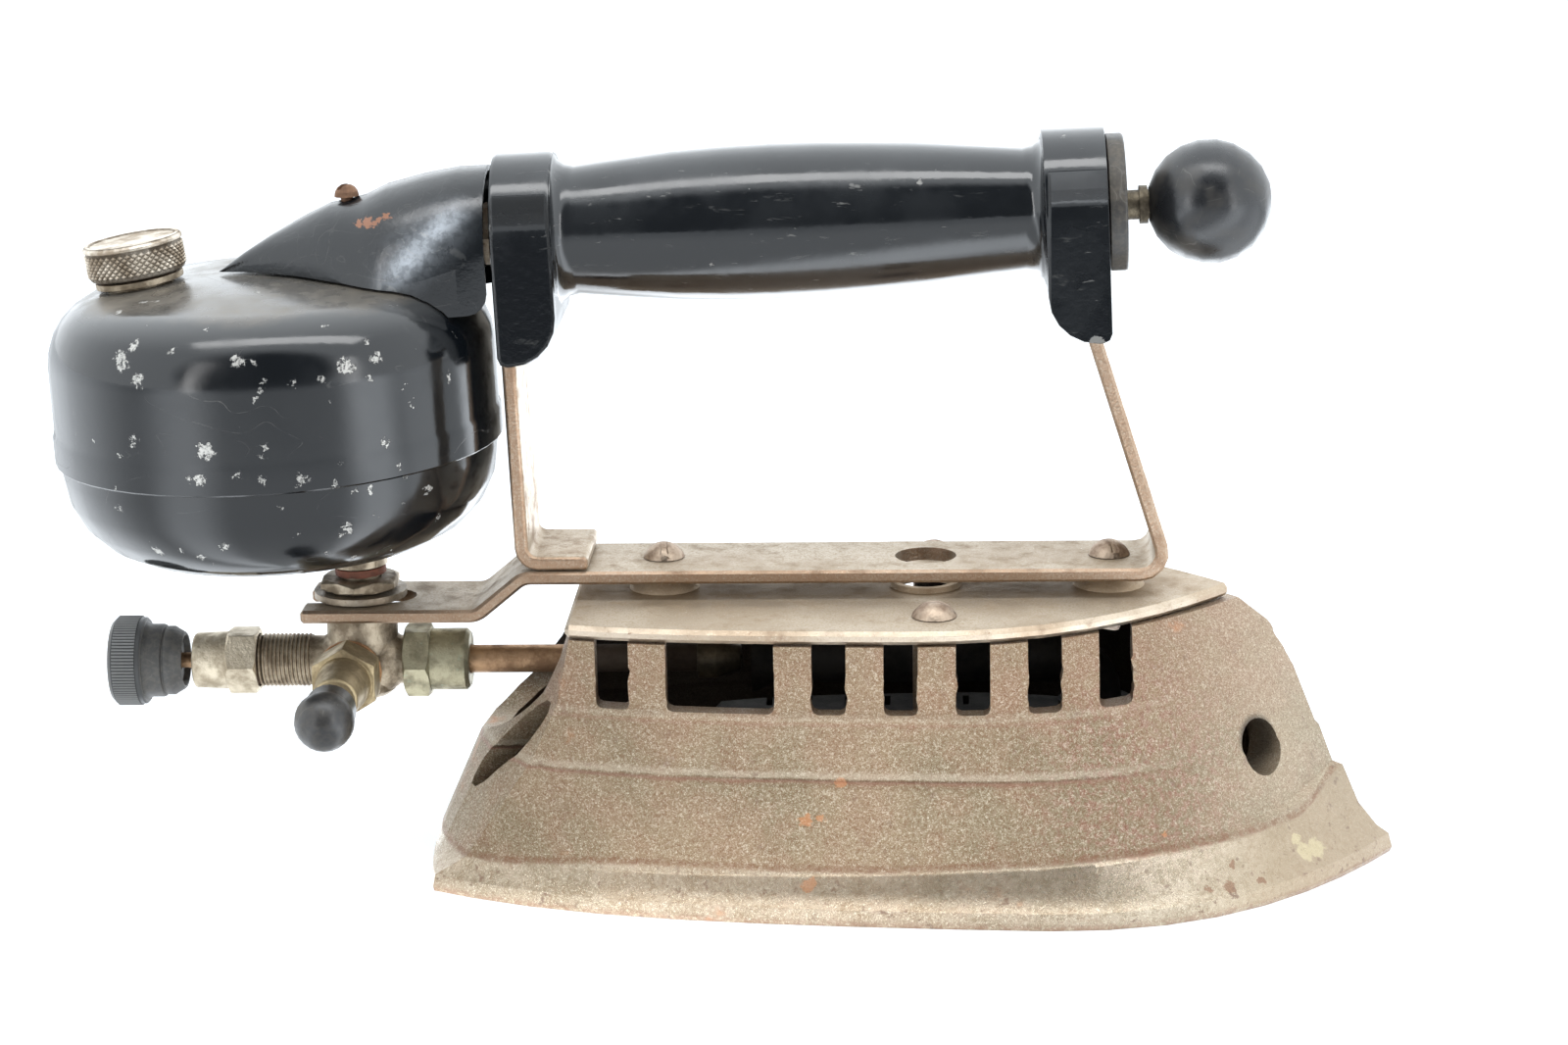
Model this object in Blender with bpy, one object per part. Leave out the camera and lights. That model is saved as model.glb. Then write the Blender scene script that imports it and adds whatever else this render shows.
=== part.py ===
# Self-heating fuel iron, built as its separate pieces.
# Metres, +X towards the nose, +Z up. The origin lies on the sole, below the hole in the strap.
# The tank and handle stand on a frame of their own, tipped back a little over the outlet.

import bpy
import bmesh
from math import pi, sin, cos, tan, asin, acos, sqrt, hypot, radians, ceil
from mathutils import Vector, Matrix

# Fits shared by all pieces
gap = 0.0003                  # between pieces that touch on the iron
overrun = 0.003               # how far a cutter passes what it cuts
edge_break = 0.0004           # small broken edge on turned brass
weld_distance = 0.0000001     # points closer than this are one point
facet_depth = 0.00011         # how far the flats of a round piece lie inside its circle
quarter_turn = pi / 2

# Base casting
rear_reach = 0.1044           # origin to the rear corners of the sole
nose_reach = 0.0998           # origin to the tip of the nose
base_half_width = 0.0484
base_height = 0.057
wall = 0.0042
floor_thickness = 0.009
nose_wall = 0.0105            # the nose is cast thicker than the sides

# Windows, which are notches open at the top and closed by the cover plate
window_width = 0.007
wide_window = 0.0222
pillar_width = 0.0077
window_start = -0.068
window_sill = 0.0427
window_count = 7
wide_window_index = 1
window_corner = 0.0012

# Rear arch and vents
arch_radius = 0.0237
arch_centre_height = 0.0537
vent_low = Vector((-0.0950, 0.0122, 0.0195))
vent_high = Vector((-0.0782, 0.0260, 0.0425))
vent_outward = Vector((-0.88, 0.25, 0.40))
vent_width = 0.0068

# Lighting hole in the near side of the nose
lighting_hole = 0.0115
lighting_reach_share = 0.7034     # of the nose's reach
lighting_side_share = 0.3223      # of the half width
lighting_height_share = 0.5035    # of the casting's height
lighting_swing = radians(44)

# Posts in the casting for the cover screws
cover_screw_x = 0.0017
cover_screw_y = 0.0245
cover_post = 0.009
cover_screw_hole = 0.0034
cover_screw_shank = 0.0028
cover_screw_depth = 0.010
cover_head = 0.0094
cover_head_height = 0.0030
screw_slot = 0.0013

# Cover plate
plate_height = 0.0028
plate_sheet = 0.0011
plate_half_width = 0.0366
plate_corner_half = 0.0300
plate_rear = 0.0742
plate_nose = 0.0642
plate_widest = -0.004
plate_edge_round = 0.0009
boss_foot = 0.0155
boss_top = 0.0104
boss_waist_share = 0.92
boss_bend_share = 0.35
ring_outer = 0.0150
ring_inner = 0.0122
ring_height = 0.0012

# Strap and rear leg
strap_width = 0.024
strap_thickness = 0.0028
strap_top = 0.0665
strap_hole = 0.0130
strap_edge_round = 0.0006
strap_bend = 0.0045           # radius of the bends, at the middle of the metal
front_bend_x = 0.0508
joggle_top_x = -0.0845
joggle_foot_x = -0.0945
joggle_drop = 0.0082
tongue_end_x = -0.1318
tongue_slot_width = 0.0108
tongue_slot_front_x = -0.1085
front_leg_lean = radians(17.5)
front_leg_length = 0.0665
leg_thickness = 0.0030
foot_end_x = -0.0706
leg_bend = 0.0032

# Screws that hold the strap to the plate
strap_screw_rear_x = -0.0555
strap_screw_front_x = 0.0387
strap_screw_hole = 0.0042
strap_screw_shank = 0.0034
strap_head = 0.0088
strap_head_height = 0.0031
strap_nut_flats = 0.0075
strap_nut_height = 0.0028

# Burner and mixing tube inside the base
burner_rear = 0.046
burner_front = 0.052
burner_half_width = 0.0155
burner_foot_height = 0.012
burner_height = 0.0105
burner_foot_width = 0.010
burner_foot_reach = 0.030
burner_slot_length = 0.0065
burner_slot_width = 0.0013
burner_slot_depth = 0.004
burner_slot_count = 9
burner_slot_pitch = 0.0085
burner_slot_offset = 0.0085
burner_round = 0.0015
burner_foot_share = 0.3       # how high the feet reach into the body
burner_socket_share = 0.45
socket_x = 0.036
socket_width = 0.016
socket_height = 0.003
socket_depth = 0.006
mixing_outer = 0.0110
mixing_bore = 0.0088
mixing_mouth = 0.0150
mixing_mouth_length = 0.005
mixing_bend = 0.0085
mixing_rear_x = -0.0370

# Valve, generator and gas tip, on one axis under the tank
valve_axis_height = 0.0442
outlet_x = -0.1205
generator_outer = 0.0061
generator_bore = 0.0042
generator_rear_x = -0.1095
generator_front_x = -0.0450
tip_outer = 0.0090
tip_front_x = -0.0395
tip_orifice = 0.0010
tip_socket_depth = 0.004
body_radius = 0.0080
body_core = 0.0058
body_waist = 0.0138
body_plain_x = -0.1314
body_rear_x = -0.1418
barrel_outer = 0.0104
barrel_thread = 0.0108
needle_bore = 0.0042
fuel_bore = 0.0026
riser_boss = 0.0152
riser_outer = 0.0088
riser_bore = 0.0040
riser_top = 0.0668
body_bottom_radius = 0.0070
branch_boss = 0.0124
branch_length = 0.0088
branch_x = -0.1222
packing_rear_x = -0.1568
packing_shoulder_x = -0.1494
packing_front_x = -0.1428
packing_small = 0.0118
packing_large = 0.0124
packing_flats = 0.0128
stem_diameter = 0.0034
stem_tip_x = -0.1235
knob_rear_x = -0.1742
knob_disc_x = -0.1674
knob_hub_x = -0.1624
knob_front_x = -0.1589
knob_disc = 0.0193
knob_hub = 0.0157
knob_nose = 0.0126
knob_recess = 0.0012
coupling_rear_x = -0.1113
coupling_shoulder_x = -0.1057
coupling_front_x = -0.0974
coupling_flats = 0.0142
coupling_round = 0.0132
coupling_thread = 0.0108

# Side valve
bonnet_gasket_outer = 0.0138
bonnet_gasket_thickness = 0.0010
bonnet_flats = 0.0132
bonnet_hex_length = 0.0080
bonnet_length = 0.0200
bonnet_root = 0.0118
bonnet_end = 0.0096
side_knob_radius = 0.0062
side_knob_skirt = 0.0108
side_knob_centre_y = -0.0440
side_knob_skirt_length = 0.0085

# Outlet stack between the strap's tongue and the tank
washer_outer = 0.0198
washer_inner = 0.0094
washer_thickness = 0.0015
lock_nut_flats = 0.0157
lock_nut_height = 0.0025
gasket_outer = 0.0110
gasket_thickness = 0.0016
bush_outer = 0.0117
bush_flange = 0.0150
bush_flange_height = 0.0012
bush_height = 0.0036
bush_bore = 0.0102
outlet_hole = 0.0128

# Tank, measured on its own frame above the outlet
tank_tilt = radians(2)
tank_seat_height = 0.0693
tank_front_x = 0.0319         # front of the tank ahead of its outlet
tank_radius = 0.0466
tank_axis_x = tank_front_x - tank_radius
sheet = 0.0009
lower_radius = tank_radius - sheet
seam_height = 0.0232
skirt_height = 0.0064
skirt_proud = 0.0004
bottom_round = 0.0190
pan_bottom = 0.0020           # lowest face of the tank above its seat
shoulder_height = 0.0437
shoulder_round = 0.0140
dome_radius = 0.240

# Filler
filler_offset = 0.0266
neck_outer = 0.0140
neck_bore = 0.0108
neck_flange = 0.0184
neck_flange_height = 0.0013
neck_depth = 0.008
filler_gasket_outer = 0.0165
filler_gasket_thickness = 0.0011
cap_outer = 0.0208
cap_height = 0.0062
cap_plug = 0.0100
cap_plug_length = 0.0065
cap_rim = 0.0012
cap_dish = 0.0003

# Handle, along its axis above the tank's bottom
handle_over_dome = 0.00594      # the handle's axis above the crown of the tank
block_rear_x = 0.0343
block_length = 0.0128
handle_length = 0.1262
block_radius = 0.0165
core_radius_share = 0.8         # of the block radius, inside the blocks
waist_radius_share = 0.95
flare_radius_share = 0.97       # where the grip leaves a block
waist_length_share = 0.8
block_drop = 0.0255
block_corner = 0.0100
block_small_corner = 0.0020
block_edge_round = 0.0014
grip_radius = 0.0160
grip_fillet = 0.0040
barrel_radius = 0.0080
pump_bore_radius = 0.0070
barrel_wall_end = 0.0025
spigot_radius = 0.0042
spigot_length = 0.0068
barrel_nut_flats = 0.0120
barrel_nut_height = 0.0030
end_plate_radius = 0.0149
end_plate_flat = 0.0119
end_plate_thickness = 0.0036
rod_diameter = 0.0062
ball_radius = 0.0129
ball_centre_x = 0.1818
collar_outer = 0.0080
collar_thickness = 0.0017
piston_x = 0.0440
piston_washer = 0.0110
piston_washer_thickness = 0.0010
piston_cup_outer = 0.0136
piston_cup_length = 0.0060
piston_cup_wall = 0.0012
piston_nut_flats = 0.0080
piston_nut_height = 0.0026
rod_end = 0.0040

# Hood, check valve and air elbow
hood_front_x = 0.0332
hood_tip_x = -0.0246
hood_half_width = 0.0178
hood_over_axis = 0.01436      # top of the hood above the handle's axis, at its front
hood_rise = handle_over_dome + hood_over_axis
hood_sheet = 0.0010
hood_corner_drop = 0.0138     # from the handle's axis down to the hood's lowest corners
hood_corner_round = 0.0040
hood_screw_x = 0.0035
hood_screw_head = 0.0052
hood_screw_head_height = 0.0026
hood_screw_shank = 0.0026
hood_screw_hole = 0.0034
elbow_column = 0.0076
elbow_head_room = 0.0018
elbow_arm = 0.0090
elbow_arm_length = 0.0130
elbow_foot = 0.0016
air_bore = 0.0030
check_outer = 0.0100
check_bore = 0.0056
check_wall = 0.0020
check_ball = 0.0048


def smooth_step(share):
    share = min(max(share, 0), 1)
    return share * share * (3 - 2 * share)


def between(low, high, share):
    return low + (high - low) * share


# scene and materials are kept plain: one finish for each kind of metal or plastic


def clear_scene():
    for item in list(bpy.data.objects):
        bpy.data.objects.remove(item, do_unlink=True)


finishes = {}


def finish(name, colour, roughness, metallic):
    material = bpy.data.materials.new(name)
    material.use_nodes = True
    shader = material.node_tree.nodes["Principled BSDF"]
    shader.inputs["Base Color"].default_value = (*colour, 1)
    shader.inputs["Roughness"].default_value = roughness
    shader.inputs["Metallic"].default_value = metallic
    material.diffuse_color = (*colour, 1)
    finishes[name] = material


def make_finishes():
    finish("worn_nickel_casting", (0.47, 0.40, 0.32), 0.45, 0.8)
    finish("worn_nickel_sheet", (0.55, 0.50, 0.41), 0.35, 0.9)
    finish("rusty_steel", (0.38, 0.29, 0.22), 0.55, 0.8)
    finish("black_enamel", (0.02, 0.022, 0.025), 0.2, 0.0)
    finish("black_phenolic", (0.025, 0.025, 0.027), 0.4, 0.0)
    finish("black_lacquer", (0.02, 0.02, 0.022), 0.25, 0.0)
    finish("old_brass", (0.42, 0.36, 0.25), 0.4, 0.9)
    finish("green_brass", (0.36, 0.37, 0.28), 0.5, 0.8)
    finish("brown_copper", (0.30, 0.18, 0.10), 0.4, 0.9)
    finish("bright_copper", (0.62, 0.34, 0.16), 0.35, 0.9)
    finish("red_fibre", (0.28, 0.08, 0.05), 0.7, 0.0)
    finish("leather", (0.16, 0.10, 0.06), 0.8, 0.0)
    finish("burnt_iron", (0.06, 0.05, 0.045), 0.8, 0.4)


def place(name, mesh, look, frame=None, at=(0, 0, 0), turn=(0, 0, 0), smooth=radians(35)):
    piece = bpy.data.objects.new(name, mesh)
    bpy.context.collection.objects.link(piece)
    if look:
        mesh.materials.append(finishes[look])
        mesh.shade_smooth()
        mesh.set_sharp_from_angle(angle=smooth)
    piece.location = at
    piece.rotation_euler = turn
    piece.parent = frame
    return piece


def to_mesh(name, shape):
    bmesh.ops.remove_doubles(shape, verts=shape.verts, dist=weld_distance)
    bmesh.ops.recalc_face_normals(shape, faces=shape.faces)
    mesh = bpy.data.meshes.new(name)
    shape.to_mesh(mesh)
    shape.free()
    return mesh


def cutter(name, mesh, frame=None, at=(0, 0, 0), turn=(0, 0, 0)):
    tool = place(name, mesh, None, frame, at, turn)
    tool.display_type = "WIRE"
    tool.hide_render = True
    return tool


def combine(piece, tool, operation):
    step = piece.modifiers.new(operation.lower() + "_" + tool.name, "BOOLEAN")
    step.operation = operation
    step.object = tool
    step.solver = "EXACT"


def cut(piece, tool):
    combine(piece, tool, "DIFFERENCE")


def join(piece, tool):
    combine(piece, tool, "UNION")


def keep_common(piece, tool):
    combine(piece, tool, "INTERSECT")


def round_edges(piece, width, segments=2, limit=radians(40)):
    step = piece.modifiers.new("rounded_edges", "BEVEL")
    step.width = width
    step.segments = segments
    step.limit_method = "ANGLE"
    step.angle_limit = limit
    step.harden_normals = False


# shapes


def facets(radius):
    # sides of a round piece, so that it stays close to round
    sides = pi / acos(max(1 - facet_depth / max(radius, facet_depth), 0))
    return int(min(max(4 * ceil(sides / 4), 12), 64))


def arc(centre, radius, start, end, steps):
    # points on a circle in a profile's plane, angles from the radial direction
    return [
        (
            centre[0] + radius * cos(between(start, end, i / steps)),
            centre[1] + radius * sin(between(start, end, i / steps)),
        )
        for i in range(steps + 1)
    ]


def turned(name, profile, sides=None, closed=False):
    # profile holds (radius, height) points; an open one starts and ends on the axis
    shape = bmesh.new()
    verts = [shape.verts.new((radius, 0, height)) for radius, height in profile]
    edges = [shape.edges.new(pair) for pair in zip(verts, verts[1:])]
    if closed:
        edges.append(shape.edges.new((verts[-1], verts[0])))
    sides = sides or facets(max(radius for radius, height in profile))
    bmesh.ops.spin(
        shape, geom=verts + edges, cent=(0, 0, 0), axis=(0, 0, 1),
        angle=2 * pi, steps=sides, use_merge=True,
    )
    return to_mesh(name, shape)


def solid_turning(name, outline, sides=None):
    # outline of (radius, height) from the bottom up, closed to the axis at both ends
    profile = [(0, outline[0][1])] + list(outline) + [(0, outline[-1][1])]
    return turned(name, profile, sides)


def ring_turning(name, outer, inner, low, high, sides=None):
    radius_out, radius_in = outer / 2, inner / 2
    profile = [(radius_in, low), (radius_out, low), (radius_out, high), (radius_in, high)]
    return turned(name, profile, sides, closed=True)


def rod(name, diameter, low, high, sides=None):
    return solid_turning(name, [(diameter / 2, low), (diameter / 2, high)], sides)


def extruded(name, outline, low, high, axis="Z"):
    # a flat outline carried along an axis; for Y the outline lies in XZ, for X in YZ
    def lay(point, depth):
        if axis == "Z":
            return (point[0], point[1], depth)
        if axis == "Y":
            return (point[0], depth, point[1])
        return (depth, point[0], point[1])

    shape = bmesh.new()
    face = shape.faces.new([shape.verts.new(lay(point, low)) for point in outline])
    grown = bmesh.ops.extrude_face_region(shape, geom=[face])
    shift = Vector(lay((0, 0), high)) - Vector(lay((0, 0), low))
    moved = [item for item in grown["geom"] if isinstance(item, bmesh.types.BMVert)]
    bmesh.ops.translate(shape, verts=moved, vec=shift)
    return to_mesh(name, shape)


def nut_mesh(name, flats, low, high, nose=(), bore=(), steps=2):
    # A hexagon from low to high with its corners turned off at both ends. The nose goes on from
    # the top as (radius, height) points, and the bore comes back through it to the bottom.
    sides = 6 * steps
    slope = tan(radians(30))
    shape = bmesh.new()

    def ring(radius_at, height_at):
        points = []
        for i in range(sides):
            turn = 2 * pi * i / sides
            across = abs((turn + pi / 6) % (pi / 3) - pi / 6)
            radius = radius_at(across)
            points.append(shape.verts.new((radius * cos(turn), radius * sin(turn), height_at(radius))))
        return points

    def round_ring(radius, height):
        return ring(lambda across: radius, lambda any_radius: height)

    def hex_radius(across):
        return flats / 2 / cos(across)

    rings = [
        round_ring(flats / 2, low),
        ring(hex_radius, lambda radius: low + (radius - flats / 2) * slope),
        ring(hex_radius, lambda radius: high - (radius - flats / 2) * slope),
        round_ring(flats / 2, high),
    ]
    rings += [round_ring(radius, height) for radius, height in nose]
    rings += [round_ring(radius, height) for radius, height in bore]
    pairs = list(zip(rings, rings[1:]))
    if bore:
        pairs.append((rings[-1], rings[0]))
    else:
        shape.faces.new(rings[0])
        shape.faces.new(rings[-1])
    for one, two in pairs:
        for k in range(sides):
            after = (k + 1) % sides
            shape.faces.new((one[k], one[after], two[after], two[k]))
    return to_mesh(name, shape)


def plain_nut(name, flats, low, high, hole):
    return nut_mesh(name, flats, low, high, bore=[(hole / 2, high), (hole / 2, low)])


def box(low, high):
    shape = bmesh.new()
    bmesh.ops.create_cube(shape, size=1)
    size = [b - a for a, b in zip(low, high)]
    middle = [(a + b) / 2 for a, b in zip(low, high)]
    bmesh.ops.scale(shape, verts=shape.verts, vec=size)
    bmesh.ops.translate(shape, verts=shape.verts, vec=middle)
    return shape


def joined(name, shapes):
    # several separate shapes in one mesh
    return gathered(name, [(to_mesh(name, shape), (0, 0, 0)) for shape in shapes])


def gathered(name, meshes):
    # separate meshes, each moved to its place, in one mesh
    whole = bmesh.new()
    for mesh, offset in meshes:
        mesh.transform(Matrix.Translation(offset))
        whole.from_mesh(mesh)
        bpy.data.meshes.remove(mesh)
    mesh = bpy.data.meshes.new(name)
    whole.to_mesh(mesh)
    whole.free()
    return mesh


def bent_path(corners, radius, steps=4):
    # a line through the corners with each bend rounded to the radius
    path = [Vector(corners[0])]
    for before, corner, after in zip(corners, corners[1:], corners[2:]):
        before, corner, after = Vector(before), Vector(corner), Vector(after)
        back = (before - corner).normalized()
        ahead = (after - corner).normalized()
        half = back.angle(ahead) / 2
        middle = corner + (back + ahead).normalized() * (radius / sin(half))
        first = corner + back * (radius / tan(half)) - middle
        last = corner + ahead * (radius / tan(half)) - middle
        sweep = first.angle(last)
        for i in range(steps + 1):
            share = i / steps
            blend = first * sin((1 - share) * sweep) + last * sin(share * sweep)
            path.append(middle + blend / sin(sweep))
    path.append(Vector(corners[-1]))
    return path


def strip_outline(path, thickness):
    # both faces of a bent strip whose middle follows a path in XZ
    left, right = [], []
    for i, point in enumerate(path):
        ahead = (path[min(i + 1, len(path) - 1)] - path[max(i - 1, 0)]).normalized()
        side = Vector((-ahead.y, ahead.x)) * (thickness / 2)
        left.append(tuple(point + side))
        right.append(tuple(point - side))
    return left + right[::-1]


def bent_strip(name, corners, radius, thickness, width):
    outline = strip_outline(bent_path(corners, radius), thickness)
    return extruded(name, outline, -width / 2, width / 2, "Y")


def pipe(name, path, outer, bore, sides):
    # a round tube along a path in XZ; outer may be one diameter or one for each point
    outers = outer if isinstance(outer, list) else [outer] * len(path)
    thickness = (outers[-1] - bore) / 2
    shape = bmesh.new()
    rings = []
    for i, point in enumerate(path):
        ahead = (path[min(i + 1, len(path) - 1)] - path[max(i - 1, 0)]).normalized()
        side = Vector((-ahead.y, ahead.x))
        pair = []
        for radius in (outers[i] / 2, outers[i] / 2 - thickness):
            ring = []
            for k in range(sides):
                turn = 2 * pi * k / sides
                flat = point + side * (radius * cos(turn))
                ring.append(shape.verts.new((flat.x, radius * sin(turn), flat.y)))
            pair.append(ring)
        rings.append(pair)

    def skin(one, two):
        for k in range(sides):
            after = (k + 1) % sides
            shape.faces.new((one[k], one[after], two[after], two[k]))

    for one, two in zip(rings, rings[1:]):
        skin(one[0], two[0])
        skin(one[1], two[1])
    skin(rings[0][0], rings[0][1])
    skin(rings[-1][0], rings[-1][1])
    return to_mesh(name, shape)


def loft(name, rings):
    # skin over closed rings of equal count, capped at both ends
    shape = bmesh.new()
    loops = [[shape.verts.new(point) for point in ring] for ring in rings]
    for one, two in zip(loops, loops[1:]):
        for k in range(len(one)):
            after = (k + 1) % len(one)
            shape.faces.new((one[k], one[after], two[after], two[k]))
    shape.faces.new(loops[0])
    shape.faces.new(loops[-1])
    return to_mesh(name, shape)


# base

# Each row is one level of the casting, in shares: height, rear reach, rear corner half width,
# rear bulge, widest place, half width, nose reach, rise towards the nose, rise towards the rear.
# They are shares of the base height, rear reach, half width, rear reach, nose reach, half width,
# nose reach, base height and base height.
base_level_shares = (
    (0.000, 0.998, 0.475, 0.020, 0.25, 0.990, 0.995, 0.000, 0.000),
    (0.018, 1.000, 0.477, 0.020, 0.25, 1.000, 1.000, 0.000, 0.000),
    (0.063, 0.995, 0.480, 0.023, 0.25, 0.996, 0.992, 0.009, 0.000),
    (0.080, 0.982, 0.481, 0.034, 0.25, 0.965, 0.966, 0.025, 0.000),
    (0.105, 0.958, 0.484, 0.052, 0.24, 0.932, 0.926, 0.090, 0.000),
    (0.140, 0.931, 0.490, 0.074, 0.24, 0.905, 0.890, 0.205, 0.000),
    (0.147, 0.926, 0.492, 0.078, 0.24, 0.892, 0.868, 0.214, 0.000),
    (0.478, 0.797, 0.548, 0.120, 0.15, 0.838, 0.838, 0.025, 0.026),
    (0.500, 0.788, 0.548, 0.120, 0.15, 0.816, 0.829, 0.020, 0.026),
    (0.738, 0.734, 0.584, 0.085, 0.05, 0.788, 0.780, 0.000, 0.000),
    (0.755, 0.730, 0.586, 0.080, 0.05, 0.773, 0.774, 0.000, 0.000),
    (0.912, 0.712, 0.610, 0.035, 0.00, 0.768, 0.724, 0.000, 0.000),
    (1.000, 0.703, 0.620, 0.015, -0.05, 0.760, 0.661, 0.000, 0.000),
)
cavity_height_shares = (0.16, 0.36, 0.52, 0.74, 0.90, 1.10)
nose_power_share = 2.33       # how full the curve from the widest place to the nose is
quick_spread_share = 0.55     # part of the rear widening that happens near the corner
gentle_rise_share = 0.8       # part of the rise that builds up along the whole side
gentle_rise_power_share = 2.5
nose_lift_length = 0.010


def base_level(height_share):
    rows = base_level_shares
    if height_share >= rows[-1][0]:
        return (height_share,) + rows[-1][1:]
    for low, high in zip(rows, rows[1:]):
        if low[0] <= height_share <= high[0]:
            share = (height_share - low[0]) / (high[0] - low[0])
            return tuple(between(a, b, share) for a, b in zip(low, high))
    return rows[0]


def boat_outline(rear, corner, bulge, widest, half, nose, bulge_steps=4, aft_steps=8, fore_steps=8):
    # the near half from the middle of the rear to the nose, then mirrored
    side = []
    for i in range(bulge_steps):
        share = i / bulge_steps
        side.append((-rear - bulge * (1 - share * share), -corner * share))
    for i in range(aft_steps):
        share = (i / aft_steps) ** 1.3
        quick = quick_spread_share * (1 - share) ** 4.5
        slow = (1 - quick_spread_share) * (1 - share) ** 1.2
        side.append((between(-rear, widest, share), -between(corner, half, 1 - quick - slow)))
    for i in range(fore_steps + 1):
        share = sin(quarter_turn * i / fore_steps)
        share = between(share, i / fore_steps, 0.5)
        side.append((between(widest, nose, share), -half * (1 - share ** nose_power_share)))
    far = [(x, -y) for x, y in side[1:-1]]
    return side + far[::-1]


def base_ring(height_share, inset=0, nose_inset=0, rises=True):
    height, rear, corner, bulge, widest, half, nose, rise, rear_rise = base_level(height_share)
    flat = boat_outline(
        rear * rear_reach - inset, corner * base_half_width - inset, bulge * rear_reach,
        widest * nose_reach, half * base_half_width - inset, nose * nose_reach - nose_inset,
    )
    ring = []
    tip = nose * nose_reach
    for x, y in flat:
        lift = 0
        if rises:
            along = max((x + rear_reach) / (tip + rear_reach), 0)
            gentle = gentle_rise_share * along ** gentle_rise_power_share
            steep = (1 - gentle_rise_share) * smooth_step((x - tip + nose_lift_length) / nose_lift_length)
            lift = rise * (gentle + steep) + rear_rise * smooth_step(-x / rear_reach)
        ring.append((x, y, (height + lift) * base_height))
    return ring


def window_spans():
    spans, x = [], window_start
    for i in range(window_count):
        width = wide_window if i == wide_window_index else window_width
        spans.append((x, x + width))
        x += width + pillar_width
    return spans


def window_cutters():
    shapes = []
    for low, high in window_spans():
        shape = box(
            (low, -base_half_width, window_sill),
            (high, base_half_width, base_height + overrun),
        )
        bottom = [
            edge for edge in shape.edges
            if all(abs(vert.co.z - window_sill) < edge_break / 9 for vert in edge.verts)
            and abs(edge.verts[0].co.x - edge.verts[1].co.x) < edge_break / 9
        ]
        bmesh.ops.bevel(
            shape, geom=bottom, offset=window_corner, segments=2, profile=0.5, affect="EDGES",
            material=-1,
        )
        shapes.append(shape)
    return joined("windows", shapes)


def vent_cutter(side):
    # a long pointed oval through the bulging rear wall, running up beside its corner
    length = (vent_high - vent_low).length
    shape = bmesh.new()
    outline = []
    for start in (0, pi):
        for i in range(8):
            turn = start + pi * i / 8
            width = abs(sin(turn)) ** 0.8 * vent_width / 2 * (1 if start == 0 else -1)
            outline.append(shape.verts.new((width, length / 2 * cos(turn), -wall * 1.6)))
    shape.faces.new(outline)
    grown = bmesh.ops.extrude_face_region(shape, geom=shape.faces[:])
    moved = [item for item in grown["geom"] if isinstance(item, bmesh.types.BMVert)]
    bmesh.ops.translate(shape, verts=moved, vec=(0, 0, wall * 3.2))
    upward = (vent_high - vent_low).normalized()
    across = upward.cross(vent_outward).normalized()
    outward = across.cross(upward).normalized()
    stand = Matrix((across, upward, outward)).transposed().to_4x4()
    shape.transform(Matrix.Translation((vent_low + vent_high) / 2) @ stand)
    if side < 0:
        bmesh.ops.scale(shape, verts=shape.verts, vec=(1, -1, 1))
    return shape


def make_base_casting():
    look = "worn_nickel_casting"
    rings = [base_ring(row[0]) for row in base_level_shares]
    base = place("base_casting", loft("base_casting", rings), look, smooth=radians(28))
    hollow = [base_ring(share, wall, nose_wall, rises=False) for share in cavity_height_shares]
    cut(base, cutter("base_cavity", loft("base_cavity", hollow)))

    arch = rod("rear_arch", arch_radius * 2, 0, rear_reach * 0.5, 40)
    start = (-rear_reach - overrun * 2, 0, arch_centre_height)
    cut(base, cutter("rear_arch", arch, at=start, turn=(0, quarter_turn, 0)))
    cut(base, cutter("vents", joined("vents", [vent_cutter(-1), vent_cutter(1)])))

    hole = rod("lighting_hole", lighting_hole, -nose_wall, nose_wall, 20)
    turn = (quarter_turn, 0, lighting_swing)
    centre = (
        nose_reach * lighting_reach_share, -base_half_width * lighting_side_share,
        base_height * lighting_height_share,
    )
    cut(base, cutter("lighting_hole", hole, at=centre, turn=turn))
    cut(base, cutter("window_cuts", window_cutters()))

    top = base_height + gap + plate_height - plate_sheet - gap
    low = top - cover_screw_depth - gap * 4
    posts, drills = [], []
    for side in (-1, 1):
        at = (cover_screw_x, side * cover_screw_y, 0)
        posts.append((rod("cover_post", cover_post, floor_thickness / 2, top, 16), at))
        drills.append((rod("cover_drill", cover_screw_hole, low, top + overrun, 12), at))
    join(base, cutter("cover_posts", gathered("cover_posts", posts)))
    cut(base, cutter("cover_drills", gathered("cover_drills", drills)))
    return base


def plate_bottom():
    return base_height + gap


def plate_top():
    return plate_bottom() + plate_height


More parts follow.
